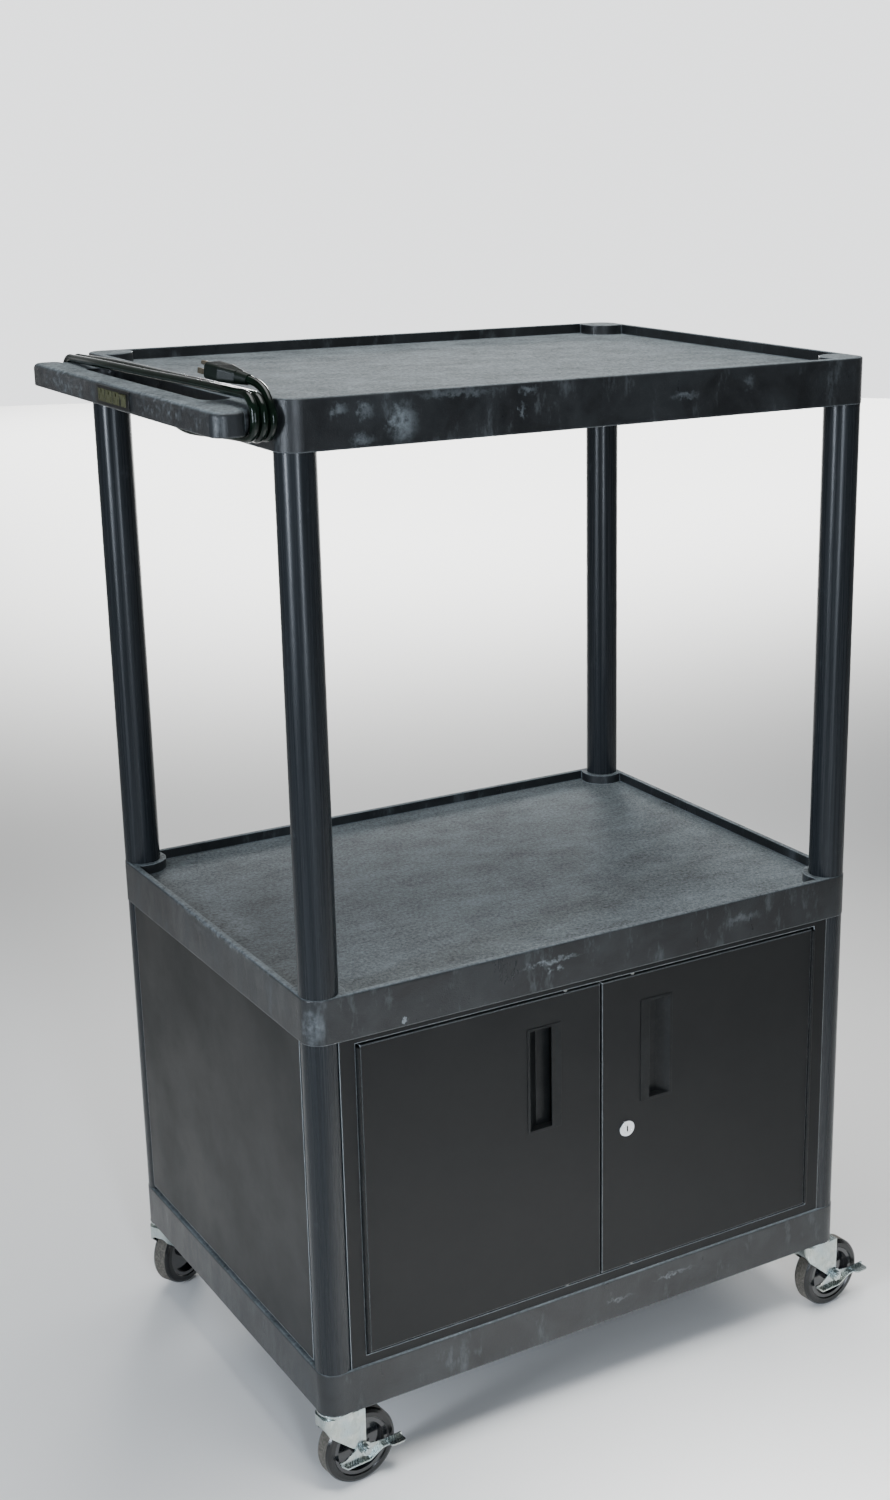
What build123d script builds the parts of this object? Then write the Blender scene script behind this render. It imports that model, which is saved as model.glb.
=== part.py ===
from build123d import *
import math
import os

# Audio visual cart: three moulded shelves on round legs, a steel cabinet with two hinged doors
# between the lower shelves, four swivel casters and a wound mains lead on the push handle.
#
# Millimetres, +Z up. X runs left to right along the doors and Y from the doors to the back.
# The cart is drawn about the middle of its shelves, and is moved at the end so that the origin
# is the bottom centre of its own box.

# Overall sizes
SHELF_WIDTH = 813.0
SHELF_DEPTH = 610.0
OVERALL_HEIGHT = 1371.6
CABINET_HEIGHT = 444.6

# Moulded shelf
SHELF_HEIGHT = 58.5
RIM_WIDTH = 8.0
RECESS_DEPTH = 14.0
DECK_THICKNESS = 5.0
SKIRT_WALL = 5.0
RIM_ROUND = 2.4
FOOT_ROUND = 1.0
RECESS_CORNER = 6.0
CORNER_PAD_WALL = 7.0
SOCKET_WALL = 5.5
RIB_THICKNESS = 4.0
RIB_DEPTH = 13.0
RIBS_ACROSS = 5
RIBS_ALONG = 3

# Legs
LEG_DIAMETER = 47.5
LEG_INSET = 24.5
LEG_WALL = 4.0
SPIGOT_STEP = 3.5
SPIGOT_LENGTH = 22.0
SPIGOT_CHAMFER = 1.5
SOCKET_CLEARANCE = 0.1
SOCKET_END_GAP = 1.0

# Push handle, moulded with the top shelf
HANDLE_DROP = 9.6
HANDLE_HEIGHT = 28.0
HANDLE_NECK_REACH = 34.0
HANDLE_BAR_THICKNESS = 39.5
HANDLE_WAIST = 7.5
HANDLE_END_SETBACK = 8.0
HANDLE_END_ROUND = 15.0
HANDLE_TOP_ROUND = 6.5
HANDLE_FOOT_ROUND = 2.0
NECK_SETBACK = 17.0
NECK_LENGTH = 95.0
HAND_SLOT_INNER_WALL = 4.0
HAND_SLOT_ROUND = 16.0
CHANNEL_WALL = 4.0
CHANNEL_DEPTH = 22.0

# Outlet strip in the outer face of the handle
OUTLET_PLATE_LENGTH = 105.0
OUTLET_PLATE_HEIGHT = 22.0
OUTLET_PLATE_THICKNESS = 1.6
OUTLET_PLATE_ROUND = 1.5
OUTLET_BOX_LENGTH = 99.0
OUTLET_BOX_HEIGHT = 19.0
OUTLET_BOX_DEPTH = 24.0
OUTLET_BOX_WALL = 1.6
OUTLET_PITCH = 24.0
OUTLET_COUNT = 3
OUTLET_FIRST_FROM_END = 16.5
RECEPTACLE_WIDTH = 21.0
RECEPTACLE_HEIGHT = 15.0
RECEPTACLE_PROUD = 0.4
BLADE_SLOT_WIDTH = 2.0
BLADE_SLOT_HEIGHT = 6.0
BLADE_SPACING = 12.7
BLADE_SLOT_DROP = 2.6
GROUND_HOLE_DIAMETER = 5.0
GROUND_HOLE_RISE = 4.3
SLOT_DEPTH = 8.0
ROCKER_WIDTH = 15.0
ROCKER_HEIGHT = 14.0
ROCKER_DEPTH = 7.0
ROCKER_PROUD = 1.6
ROCKER_HOLLOW = 1.0
ROCKER_TRAVEL = 14.0
FIT_GAP = 0.3

# Cabinet sheet metal
SHEET = 1.2
PANEL_SETBACK = 3.0
PANEL_LEG_GAP = 1.0
PANEL_FOOT_GAP = 7.0
PANEL_STEP = 12.5
PANEL_FOOT_FLANGE = 18.0
PANEL_FOOT_END = 40.0
PANEL_TOP_FLANGE = 14.0
WRAP_FROM_LEG_AXIS = 26.0
WRAP_LAP = 22.0
RETURN_INNER_GAP = 1.4
STILE_WIDTH = 56.0
BOTTOM_RAIL_HEIGHT = 13.6
TOP_RAIL_HEIGHT = 7.5
RAIL_DEPTH = 30.0
STILE_FOOT_GAP = 1.0

# Screws that hold the cabinet feet down on the bottom shelf
SCREW_HEAD_DIAMETER = 9.0
SCREW_HEAD_HEIGHT = 2.4
SCREW_SHANK_DIAMETER = 4.0
SCREWS_PER_FOOT = 3
SCREW_FROM_FOOT_END = 20.0
SCREW_HOLE_CLEARANCE = 0.05

# Doors
DOOR_PROUD = 2.0
DOOR_DEPTH = 16.0
DOOR_EDGE_GAP = 3.0
DOOR_CENTRE_GAP = 3.0
DOOR_LIP = 9.0
DOOR_EDGE_ROUND = 1.0

# Piano hinges
HINGE_PIN_DIAMETER = 2.0
HINGE_BORE_CLEARANCE = 0.04
HINGE_KNUCKLE_DIAMETER = 5.0
HINGE_KNUCKLES = 33
HINGE_KNUCKLE_GAP = 0.3
HINGE_LEAF_WIDTH = 13.0
HINGE_LEAF_THICKNESS = 1.2
HINGE_END_MARGIN = 2.0

# Recessed door pulls
PULL_WIDTH = 50.0
PULL_HEIGHT = 145.0
PULL_FLANGE = 0.8
PULL_FLANGE_ROUND = 2.0
PULL_CUP_MARGIN = 2.5
PULL_CUP_DEPTH = 12.5
PULL_WALL = 1.2
PULL_COVER = 14.0
PULL_RAMP = 15.0
PULL_FROM_CENTRE = 86.0
PULL_CENTRE_ABOVE_DOOR = 308.0

# Cam lock
LOCK_FROM_CENTRE = 40.0
LOCK_ABOVE_DOOR = 203.5
LOCK_FACE_DIAMETER = 23.0
LOCK_FACE_THICKNESS = 2.2
LOCK_FACE_CHAMFER = 0.8
LOCK_BARREL_DIAMETER = 19.0
LOCK_BARREL_LENGTH = 18.0
LOCK_PLUG_DIAMETER = 12.6
LOCK_PLUG_CLEARANCE = 0.05
LOCK_KEY_SLOT_WIDTH = 2.2
LOCK_KEY_SLOT_HEIGHT = 8.4
LOCK_KEY_SLOT_DEPTH = 12.0
LOCK_NUT_ACROSS = 24.0
LOCK_NUT_HEIGHT = 3.5
CAM_LENGTH = 57.0
CAM_WIDTH = 14.0
CAM_THICKNESS = 2.0
CAM_SCREW_HEAD = 8.0
CAM_SCREW_HEIGHT = 3.0
CAM_SCREW_SHANK = 4.0

# Stops behind the doors' lips, and pale buttons in the gaps over and under the doors
STOP_WIDTH = 18.0
STOP_HEIGHT = 8.0
BUMPER_DIAMETER = 5.0
BUMPER_FROM_CENTRE = 51.0
BUMPER_FROM_FACE = 3.0

# Swivel casters
WHEEL_DIAMETER = 101.6
WHEEL_WIDTH = 28.0
TYRE_DEPTH = 12.0
TYRE_SHOULDER = 5.0
HUB_WEB = 9.0
HUB_BOSS_DIAMETER = 26.0
HUB_RIM_DEPTH = 5.0
HUB_SIDE_INSET = 1.6
AXLE_DIAMETER = 8.0
AXLE_CLEARANCE = 0.06
AXLE_HEAD_ACROSS = 13.0
AXLE_HEAD_HEIGHT = 5.0
AXLE_END = 2.5
WHEEL_SIDE_GAP = 2.0
WHEEL_TO_CROWN = 4.0
FORK_PLATE = 2.6
FORK_FOOT_RADIUS = 9.0
FORK_NOSE_REACH = 25.0
FORK_NOSE_ROUND = 12.0
FORK_NOSE_DROP = 12.0
FORK_CHEEK_REACH = 20.0
FORK_CHEEK_DROP = 24.0
FORK_TAIL_REACH = 31.0
RACE_DIAMETER = 44.0
RACE_HEIGHT = 3.4
RACE_GAP = 0.3
TOP_PLATE_HEIGHT = 2.5
KINGPIN_DIAMETER = 10.0
KINGPIN_CLEARANCE = 0.06
KINGPIN_HEAD_DIAMETER = 16.0
KINGPIN_HEAD_HEIGHT = 2.0
STEM_DIAMETER = 12.7
STEM_LENGTH = 27.0
STEM_HOLE_CLEARANCE = 0.1
CASTER_TRAIL = 27.0
CASTER_HEADINGS = {"fl": 5.0, "fr": 5.0, "bl": 28.0, "br": 20.0}

# Side brake levers of the two front casters
BRAKE_THICKNESS = 2.0
BRAKE_SIDE_GAP = 0.3
BRAKE_EYE_RADIUS = 10.0
BRAKE_TAB_REACH = 37.0
BRAKE_TAB_DROP = 8.0
BRAKE_BELLY_FRONT = 29.0
BRAKE_BELLY_BACK = 5.0
BRAKE_BELLY_DROP = 15.5
BRAKE_NECK_REACH = 24.0
BRAKE_NECK_DROP = 5.0
BRAKE_PEDAL_REACH = 55.0
BRAKE_PEDAL_DROP = 4.0
BRAKE_PEDAL_LENGTH = 22.0
BRAKE_PEDAL_WIDTH = 15.0
BRAKE_PEDAL_ROUND = 5.0
BRAKE_FLANGE = 6.0

# Mains lead, wound on the handle
CORD_DIAMETER = 10.0
CORD_SEAT_GAP = 0.4
CORD_PITCH = 10.8
CORD_TURNS = 2
CORD_FRONT_SLACK = 9.0
CORD_SLACK_STEP = -2.0
CORD_SHIFT_START_SHARE = 0.68
CORD_SHIFT_END_SHARE = 0.18
CORD_LAST_TURN = 130.0
CORD_CLIMB_RUN = 28.0
CORD_PLUG_RUN = 20.0
CORD_SAMPLES = 1200
# The lead from its boot to the first turn, chosen by hand: across, along and up from the boot's tip
CORD_LEAD_STEPS = (
    (0.0, -28.0, 0.0),
    (1.0, -58.0, -11.0),
    (3.0, -88.0, -19.4),
    (14.0, -126.0, -19.4),
)
CORD_LEAD_LAST_RUN = 30.0
CORD_BEND_SHARE = 0.45
RELIEF_LENGTH = 26.0
RELIEF_BASE_DIAMETER = 15.0
RELIEF_TIP_DIAMETER = 12.0
RELIEF_FLANGE_DIAMETER = 17.0
PLUG_YAW = 22.0
PLUG_RISE = 8.0
PLUG_BOOT_LENGTH = 15.0
PLUG_BOOT_DIAMETER = 12.0
PLUG_NECK_DIAMETER = 16.0
PLUG_BODY_LENGTH = 39.0
PLUG_WIDTH = 27.0
PLUG_THICKNESS = 18.0
PLUG_ROUND = 5.0
PLUG_BLADE_LENGTH = 16.0
PLUG_BLADE_WIDTH = 6.3
PLUG_BLADE_THICKNESS = 1.5
PLUG_PIN_DIAMETER = 4.8
PLUG_PIN_RISE = 5.0
PLUG_BLADE_DROP = 3.0

# A cut runs past the face that it opens by this much
OVERRUN = 1.0
RIGHT_ANGLE = 90.0

# Levels and places that follow from the sizes above
WHEEL_RADIUS = WHEEL_DIAMETER / 2
CROWN_LEVEL = WHEEL_DIAMETER + WHEEL_TO_CROWN
CASTER_HEIGHT = CROWN_LEVEL + FORK_PLATE + RACE_HEIGHT + RACE_GAP + TOP_PLATE_HEIGHT
BOTTOM_LEVEL = CASTER_HEIGHT
BOTTOM_TOP = BOTTOM_LEVEL + SHELF_HEIGHT
MIDDLE_LEVEL = BOTTOM_TOP + CABINET_HEIGHT
MIDDLE_TOP = MIDDLE_LEVEL + SHELF_HEIGHT
TOP_LEVEL = OVERALL_HEIGHT - SHELF_HEIGHT
LEG_X = SHELF_WIDTH / 2 - LEG_INSET
LEG_Y = SHELF_DEPTH / 2 - LEG_INSET
LEG_PLACES = {"fl": (-LEG_X, -LEG_Y), "fr": (LEG_X, -LEG_Y), "bl": (-LEG_X, LEG_Y), "br": (LEG_X, LEG_Y)}
LEG_RADIUS = LEG_DIAMETER / 2
SPIGOT_RADIUS = LEG_RADIUS - SPIGOT_STEP
SOCKET_RADIUS = SPIGOT_RADIUS + SOCKET_CLEARANCE
SOCKET_DEPTH = SPIGOT_LENGTH + SOCKET_END_GAP
DECK_RISE = SHELF_HEIGHT - RECESS_DEPTH
CAVITY_HEIGHT = DECK_RISE - DECK_THICKNESS

HANDLE_TOP = OVERALL_HEIGHT - HANDLE_DROP
HANDLE_FOOT = HANDLE_TOP - HANDLE_HEIGHT
HANDLE_INNER_X = -SHELF_WIDTH / 2
NOTCH_X = HANDLE_INNER_X - HANDLE_NECK_REACH
HANDLE_OUTER_X = NOTCH_X - HANDLE_BAR_THICKNESS
BAR_INNER_X = NOTCH_X - HANDLE_WAIST
BAR_HALF_LENGTH = SHELF_DEPTH / 2 - HANDLE_END_SETBACK
NECK_END_Y = SHELF_DEPTH / 2 - NECK_SETBACK
SLOT_HALF_LENGTH = NECK_END_Y - NECK_LENGTH
OUTLET_LEVEL = HANDLE_FOOT + HANDLE_HEIGHT / 2

FACE_BOTTOM = BOTTOM_TOP + PANEL_FOOT_GAP
DECK_LEVEL = BOTTOM_LEVEL + DECK_RISE
PANEL_X = SHELF_WIDTH / 2 - PANEL_SETBACK
PANEL_Y = SHELF_DEPTH / 2 - PANEL_SETBACK
SHEET_FROM_AXIS = LEG_INSET - PANEL_SETBACK - SHEET
EDGE_FROM_AXIS = math.sqrt(LEG_RADIUS ** 2 - SHEET_FROM_AXIS ** 2) + PANEL_LEG_GAP
WRAP_Y = LEG_Y - WRAP_FROM_LEG_AXIS
OPENING_X = PANEL_X - STILE_WIDTH
OPENING_BOTTOM = BOTTOM_TOP + BOTTOM_RAIL_HEIGHT
SIDE_FOOT_HALF = WRAP_Y - PANEL_FOOT_END
BACK_FOOT_HALF = OPENING_X - PANEL_FOOT_END
OPENING_TOP = MIDDLE_LEVEL - TOP_RAIL_HEIGHT

DOOR_FACE_Y = -PANEL_Y - DOOR_PROUD
DOOR_BACK_Y = DOOR_FACE_Y + DOOR_DEPTH
DOOR_BOTTOM = OPENING_BOTTOM + DOOR_EDGE_GAP
DOOR_TOP = OPENING_TOP - DOOR_EDGE_GAP
DOOR_HEIGHT = DOOR_TOP - DOOR_BOTTOM
KNUCKLE_RADIUS = HINGE_KNUCKLE_DIAMETER / 2
HINGE_AXIS_X = OPENING_X - KNUCKLE_RADIUS - HINGE_KNUCKLE_GAP
HINGE_AXIS_Y = DOOR_FACE_Y
DOOR_OUTER_X = HINGE_AXIS_X - KNUCKLE_RADIUS - HINGE_KNUCKLE_GAP
DOOR_INNER_X = DOOR_CENTRE_GAP / 2
PULL_LEVEL = DOOR_BOTTOM + PULL_CENTRE_ABOVE_DOOR
LOCK_LEVEL = DOOR_BOTTOM + LOCK_ABOVE_DOOR
LOCK_BACK_Y = DOOR_FACE_Y + LOCK_BARREL_LENGTH

FORK_INNER = WHEEL_WIDTH / 2 + WHEEL_SIDE_GAP
FORK_OUTER = FORK_INNER + FORK_PLATE
BRAKE_INNER = FORK_OUTER + BRAKE_SIDE_GAP
BRAKE_OUTER = BRAKE_INNER + BRAKE_THICKNESS
STOP_Y = DOOR_BACK_Y + FIT_GAP

CORD_RADIUS = CORD_DIAMETER / 2
CORD_EXIT_X = (HANDLE_OUTER_X + BAR_INNER_X) / 2
CORD_EXIT_Y = -OUTLET_BOX_LENGTH / 2 - FIT_GAP - CHANNEL_WALL - RELIEF_LENGTH
CORD_WIND_Y = NECK_END_Y - HANDLE_HEIGHT / 2
CORD_BACK_RADIUS = HANDLE_HEIGHT / 2 + CORD_SEAT_GAP + CORD_RADIUS
CORD_LOW_Z = HANDLE_FOOT - CORD_SEAT_GAP - CORD_RADIUS
CORD_SIDE_GAP = (HANDLE_NECK_REACH - CORD_TURNS * CORD_PITCH - CORD_DIAMETER) / 2
CORD_FIRST_X = NOTCH_X + CORD_SIDE_GAP + CORD_RADIUS


def box_between(low, high):
    """A box from its lowest corner to its highest."""
    size = [b - a for a, b in zip(low, high)]
    centre = [(a + b) / 2 for a, b in zip(low, high)]
    return Pos(*centre) * Box(*size)


def disc(radius, bottom, top, x=0.0, y=0.0):
    """An upright cylinder from bottom to top about (x, y)."""
    return Pos(x, y, (bottom + top) / 2) * Cylinder(radius, top - bottom)


def rod(radius, start, end, x, z):
    """A cylinder along Y from start to end at (x, z)."""
    return Pos(x, (start + end) / 2, z) * Rot(X=RIGHT_ANGLE) * Cylinder(radius, end - start)


def shelf(level, sockets_above, sockets_below, stem_holes):
    """A moulded shelf: skirt, recessed deck, corner pads with leg sockets, and ribs underneath."""
    outline = RectangleRounded(SHELF_WIDTH, SHELF_DEPTH, LEG_INSET)
    tray = extrude(outline, SHELF_HEIGHT)
    tray = fillet(tray.faces().sort_by(Axis.Z)[-1].edges(), RIM_ROUND)
    tray = fillet(tray.faces().sort_by(Axis.Z)[0].edges(), FOOT_ROUND)
    corners = list(LEG_PLACES.values())

    inner = RectangleRounded(SHELF_WIDTH - 2 * RIM_WIDTH, SHELF_DEPTH - 2 * RIM_WIDTH, RECESS_CORNER)
    for x, y in corners:
        inner -= Pos(x, y) * Circle(LEG_INSET + CORNER_PAD_WALL)
    tray -= Pos(0, 0, DECK_RISE) * extrude(inner, RECESS_DEPTH + OVERRUN)

    hollow = RectangleRounded(SHELF_WIDTH - 2 * SKIRT_WALL, SHELF_DEPTH - 2 * SKIRT_WALL, RECESS_CORNER)
    for x, y in corners:
        hollow -= Pos(x, y) * Circle(SOCKET_RADIUS + SOCKET_WALL)
    clear_width = SHELF_WIDTH - 2 * SKIRT_WALL
    clear_depth = SHELF_DEPTH - 2 * SKIRT_WALL
    underside = Pos(0, 0, -OVERRUN) * extrude(hollow, CAVITY_HEIGHT + OVERRUN)
    rib_level = CAVITY_HEIGHT - RIB_DEPTH / 2
    for k in range(RIBS_ACROSS):
        x = clear_width * ((k + 1) / (RIBS_ACROSS + 1) - 1 / 2)
        underside -= Pos(x, 0, rib_level) * Box(RIB_THICKNESS, SHELF_DEPTH, RIB_DEPTH)
    for k in range(RIBS_ALONG):
        y = clear_depth * ((k + 1) / (RIBS_ALONG + 1) - 1 / 2)
        underside -= Pos(0, y, rib_level) * Box(SHELF_WIDTH, RIB_THICKNESS, RIB_DEPTH)
    tray -= underside

    for x, y in corners:
        if sockets_above:
            tray -= disc(SOCKET_RADIUS, SHELF_HEIGHT - SOCKET_DEPTH, SHELF_HEIGHT + OVERRUN, x, y)
        if sockets_below:
            tray -= disc(SOCKET_RADIUS, -OVERRUN, SOCKET_DEPTH, x, y)
        if stem_holes:
            hole = STEM_DIAMETER / 2 + STEM_HOLE_CLEARANCE
            tray -= disc(hole, -OVERRUN, STEM_LENGTH + SOCKET_END_GAP, x, y)
    return Pos(0, 0, level) * tray


def handle_bar():
    """The push handle: a bar on two necks, with a hand slot and a notch for the lead at each end."""
    bar_x = (HANDLE_OUTER_X + NOTCH_X) / 2
    bar = Pos(bar_x, 0) * RectangleRounded(HANDLE_BAR_THICKNESS, 2 * BAR_HALF_LENGTH, HANDLE_END_ROUND)
    grip = Pos(0, 0, HANDLE_FOOT) * extrude(bar, HANDLE_HEIGHT)
    grip = fillet(grip.faces().sort_by(Axis.Z)[-1].edges(), HANDLE_TOP_ROUND)
    grip = fillet(grip.faces().sort_by(Axis.Z)[0].edges(), HANDLE_FOOT_ROUND)

    neck = box_between(
        (NOTCH_X - HANDLE_WAIST, -NECK_END_Y, HANDLE_FOOT),
        (HANDLE_INNER_X + SKIRT_WALL / 2, NECK_END_Y, HANDLE_TOP),
    )
    nose_edges = neck.edges().filter_by(Axis.X)
    neck = fillet(nose_edges, HANDLE_HEIGHT / 2 - FIT_GAP)
    grip += neck

    slot_inner_x = HANDLE_INNER_X - HAND_SLOT_INNER_WALL
    slot_width = slot_inner_x - BAR_INNER_X
    slot = Pos((slot_inner_x + BAR_INNER_X) / 2, 0) * RectangleRounded(
        slot_width, 2 * SLOT_HALF_LENGTH, HAND_SLOT_ROUND
    )
    grip -= Pos(0, 0, HANDLE_FOOT - OVERRUN) * extrude(slot, HANDLE_HEIGHT + 2 * OVERRUN)

    half_box = OUTLET_BOX_LENGTH / 2 + FIT_GAP
    grip -= box_between(
        (HANDLE_OUTER_X - OVERRUN, -half_box, OUTLET_LEVEL - OUTLET_BOX_HEIGHT / 2 - FIT_GAP),
        (HANDLE_OUTER_X + OUTLET_BOX_DEPTH, half_box, OUTLET_LEVEL + OUTLET_BOX_HEIGHT / 2 + FIT_GAP),
    )
    for side in (-1, 1):
        near, far = half_box + CHANNEL_WALL, SLOT_HALF_LENGTH
        low_y, high_y = sorted((side * near, side * far))
        grip -= box_between(
            (HANDLE_OUTER_X + CHANNEL_WALL, low_y, HANDLE_FOOT - OVERRUN),
            (BAR_INNER_X - CHANNEL_WALL, high_y, HANDLE_FOOT + CHANNEL_DEPTH),
        )
    hole = RELIEF_FLANGE_DIAMETER / 2
    grip -= rod(hole, -half_box - CHANNEL_WALL - OVERRUN, -half_box + OVERRUN, CORD_EXIT_X, OUTLET_LEVEL)
    return grip


def top_shelf():
    """The top shelf and its push handle in one moulding."""
    return shelf(TOP_LEVEL, False, True, False) + handle_bar()


def leg(bottom, top, place):
    """A hollow leg between two shelves, with a stepped spigot at each end."""
    x, y = place
    low = bottom - SPIGOT_LENGTH
    high = top + SPIGOT_LENGTH
    bore = SPIGOT_RADIUS - LEG_WALL
    profile = make_face(Polyline(
        (bore, low),
        (SPIGOT_RADIUS - SPIGOT_CHAMFER, low),
        (SPIGOT_RADIUS, low + SPIGOT_CHAMFER),
        (SPIGOT_RADIUS, bottom),
        (LEG_RADIUS, bottom),
        (LEG_RADIUS, top),
        (SPIGOT_RADIUS, top),
        (SPIGOT_RADIUS, high - SPIGOT_CHAMFER),
        (SPIGOT_RADIUS - SPIGOT_CHAMFER, high),
        (bore, high),
        close=True,
    ))
    return Pos(x, y) * revolve(Plane.XZ * profile, Axis.Z)


def panel_foot(half_length):
    """The stepped foot of a cabinet panel, along Y: a step in over the rim, a drop and a floor flange."""
    foot_x = PANEL_X - PANEL_STEP
    step = box_between((foot_x, -half_length, FACE_BOTTOM), (PANEL_X, half_length, FACE_BOTTOM + SHEET))
    drop = box_between((foot_x, -half_length, DECK_LEVEL), (foot_x + SHEET, half_length, FACE_BOTTOM + SHEET))
    flange = box_between(
        (foot_x + SHEET - PANEL_FOOT_FLANGE, -half_length, DECK_LEVEL),
        (foot_x + SHEET, half_length, DECK_LEVEL + SHEET),
    )
    return step + drop + flange


def side_panel(side):
    """A cabinet side: a face outside the legs, returns round them, a top flange and a stepped foot."""
    edge_y = LEG_Y - EDGE_FROM_AXIS
    panel = box_between((PANEL_X - SHEET, -edge_y, FACE_BOTTOM), (PANEL_X, edge_y, MIDDLE_LEVEL))
    return_x = OPENING_X + SHEET + RETURN_INNER_GAP
    for end in (-1, 1):
        low_y, high_y = sorted((end * WRAP_Y, end * (WRAP_Y - SHEET)))
        panel += box_between((return_x, low_y, FACE_BOTTOM), (PANEL_X, high_y, MIDDLE_LEVEL))
    panel += box_between(
        (PANEL_X - PANEL_TOP_FLANGE, -WRAP_Y, MIDDLE_LEVEL - SHEET), (PANEL_X, WRAP_Y, MIDDLE_LEVEL)
    )
    panel += panel_foot(SIDE_FOOT_HALF)
    return panel if side > 0 else mirror(panel, Plane.YZ)


def corner_walls(bottom):
    """The two walls behind the front legs, with the flanges that lap over the side panels' returns."""
    walls = None
    lap_y = -WRAP_Y + SHEET
    for side in (-1, 1):
        inner, outer = sorted((side * OPENING_X, side * (OPENING_X + SHEET)))
        wall = box_between((inner, -PANEL_Y, bottom), (outer, lap_y + SHEET, MIDDLE_LEVEL))
        low_x, high_x = sorted((side * OPENING_X, side * (OPENING_X + WRAP_LAP)))
        wall += box_between((low_x, lap_y, FACE_BOTTOM), (high_x, lap_y + SHEET, MIDDLE_LEVEL))
        walls = wall if walls is None else walls + wall
    return walls


def door_stop(side):
    """A small tab bent down off the upper rail's inner wall, that a door's lip closes against."""
    x, rail_level = side * BUMPER_FROM_CENTRE, OPENING_TOP + SHEET
    return box_between(
        (x - STOP_WIDTH / 2, STOP_Y, rail_level - STOP_HEIGHT), (x + STOP_WIDTH / 2, STOP_Y + SHEET, rail_level)
    )


def front_frame():
    """The face frame round the doors: stiles, rails, wrapped corner walls and two feet on the deck."""
    edge_x = LEG_X - EDGE_FROM_AXIS
    frame = box_between((-edge_x, -PANEL_Y, BOTTOM_TOP), (edge_x, -PANEL_Y + SHEET, MIDDLE_LEVEL))
    frame -= box_between(
        (-OPENING_X, -PANEL_Y - OVERRUN, OPENING_BOTTOM), (OPENING_X, -PANEL_Y + OVERRUN + SHEET, OPENING_TOP)
    )
    frame += corner_walls(BOTTOM_TOP)
    for low, high in ((OPENING_BOTTOM - SHEET, OPENING_BOTTOM), (OPENING_TOP, OPENING_TOP + SHEET)):
        frame += box_between((-OPENING_X, -PANEL_Y, low), (OPENING_X, -PANEL_Y + RAIL_DEPTH, high))
    foot_y = -SHELF_DEPTH / 2 + RIM_WIDTH + STILE_FOOT_GAP
    for side in (-1, 1):
        inner, outer = sorted((side * OPENING_X, side * (OPENING_X + SHEET)))
        frame += box_between((inner, foot_y, DECK_LEVEL), (outer, -WRAP_Y + 2 * SHEET, BOTTOM_TOP + SHEET))
        frame += door_stop(side)
    return frame


def back_panel():
    """The cabinet back: a plain face, wrapped round the back legs, with a stepped foot."""
    edge_x = LEG_X - EDGE_FROM_AXIS
    back = box_between((-edge_x, PANEL_Y - SHEET, FACE_BOTTOM), (edge_x, PANEL_Y, MIDDLE_LEVEL))
    back += mirror(corner_walls(FACE_BOTTOM), Plane.XZ)
    back += box_between(
        (-OPENING_X, PANEL_Y - PANEL_TOP_FLANGE, MIDDLE_LEVEL - SHEET), (OPENING_X, PANEL_Y, MIDDLE_LEVEL)
    )
    return back + Pos(0, PANEL_Y - PANEL_X) * Rot(Z=RIGHT_ANGLE) * panel_foot(BACK_FOOT_HALF)


def screw(x, y, level):
    """A pan-head screw that stands on a level and reaches down through the sheet into the deck."""
    head = disc(SCREW_HEAD_DIAMETER / 2, level, level + SCREW_HEAD_HEIGHT, x, y)
    head = fillet(head.edges().sort_by(Axis.Z)[-1], SCREW_HEAD_HEIGHT / 2)
    shank = disc(SCREW_SHANK_DIAMETER / 2, level - SHEET - DECK_THICKNESS, level, x, y)
    return head + shank


def screw_places():
    """Where the cabinet screws stand: the same number along each side foot and along the back foot."""
    inset = PANEL_STEP - SHEET + PANEL_FOOT_FLANGE / 2
    shares = [2 * k / (SCREWS_PER_FOOT - 1) - 1 for k in range(SCREWS_PER_FOOT)]
    along_side, along_back = SIDE_FOOT_HALF - SCREW_FROM_FOOT_END, BACK_FOOT_HALF - SCREW_FROM_FOOT_END
    sides = [(side * (PANEL_X - inset), share * along_side) for side in (-1, 1) for share in shares]
    return sides + [(share * along_back, PANEL_Y - inset) for share in shares]


def drilled(piece):
    """A cabinet panel or the lowest shelf with its clearance holes for the screws."""
    hole = SCREW_SHANK_DIAMETER / 2 + SCREW_HOLE_CLEARANCE
    for x, y in screw_places():
        piece -= disc(hole, DECK_LEVEL - DECK_THICKNESS - OVERRUN, DECK_LEVEL + SHEET + OVERRUN, x, y)
    return piece


def screws():
    """The cabinet screws, through the foot flanges into the deck of the bottom shelf."""
    return Compound([screw(x, y, DECK_LEVEL + SHEET) for x, y in screw_places()])


def bumpers():
    """The pale buttons on the rails, one under and one over each door, just short of its edges."""
    radius, y = BUMPER_DIAMETER / 2, -PANEL_Y + BUMPER_FROM_FACE
    group = []
    for side in (-1, 1):
        x = side * BUMPER_FROM_CENTRE
        group.append(disc(radius, OPENING_BOTTOM, DOOR_BOTTOM - FIT_GAP, x, y))
        group.append(disc(radius, DOOR_TOP + FIT_GAP, OPENING_TOP, x, y))
    return Compound(group)


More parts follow.
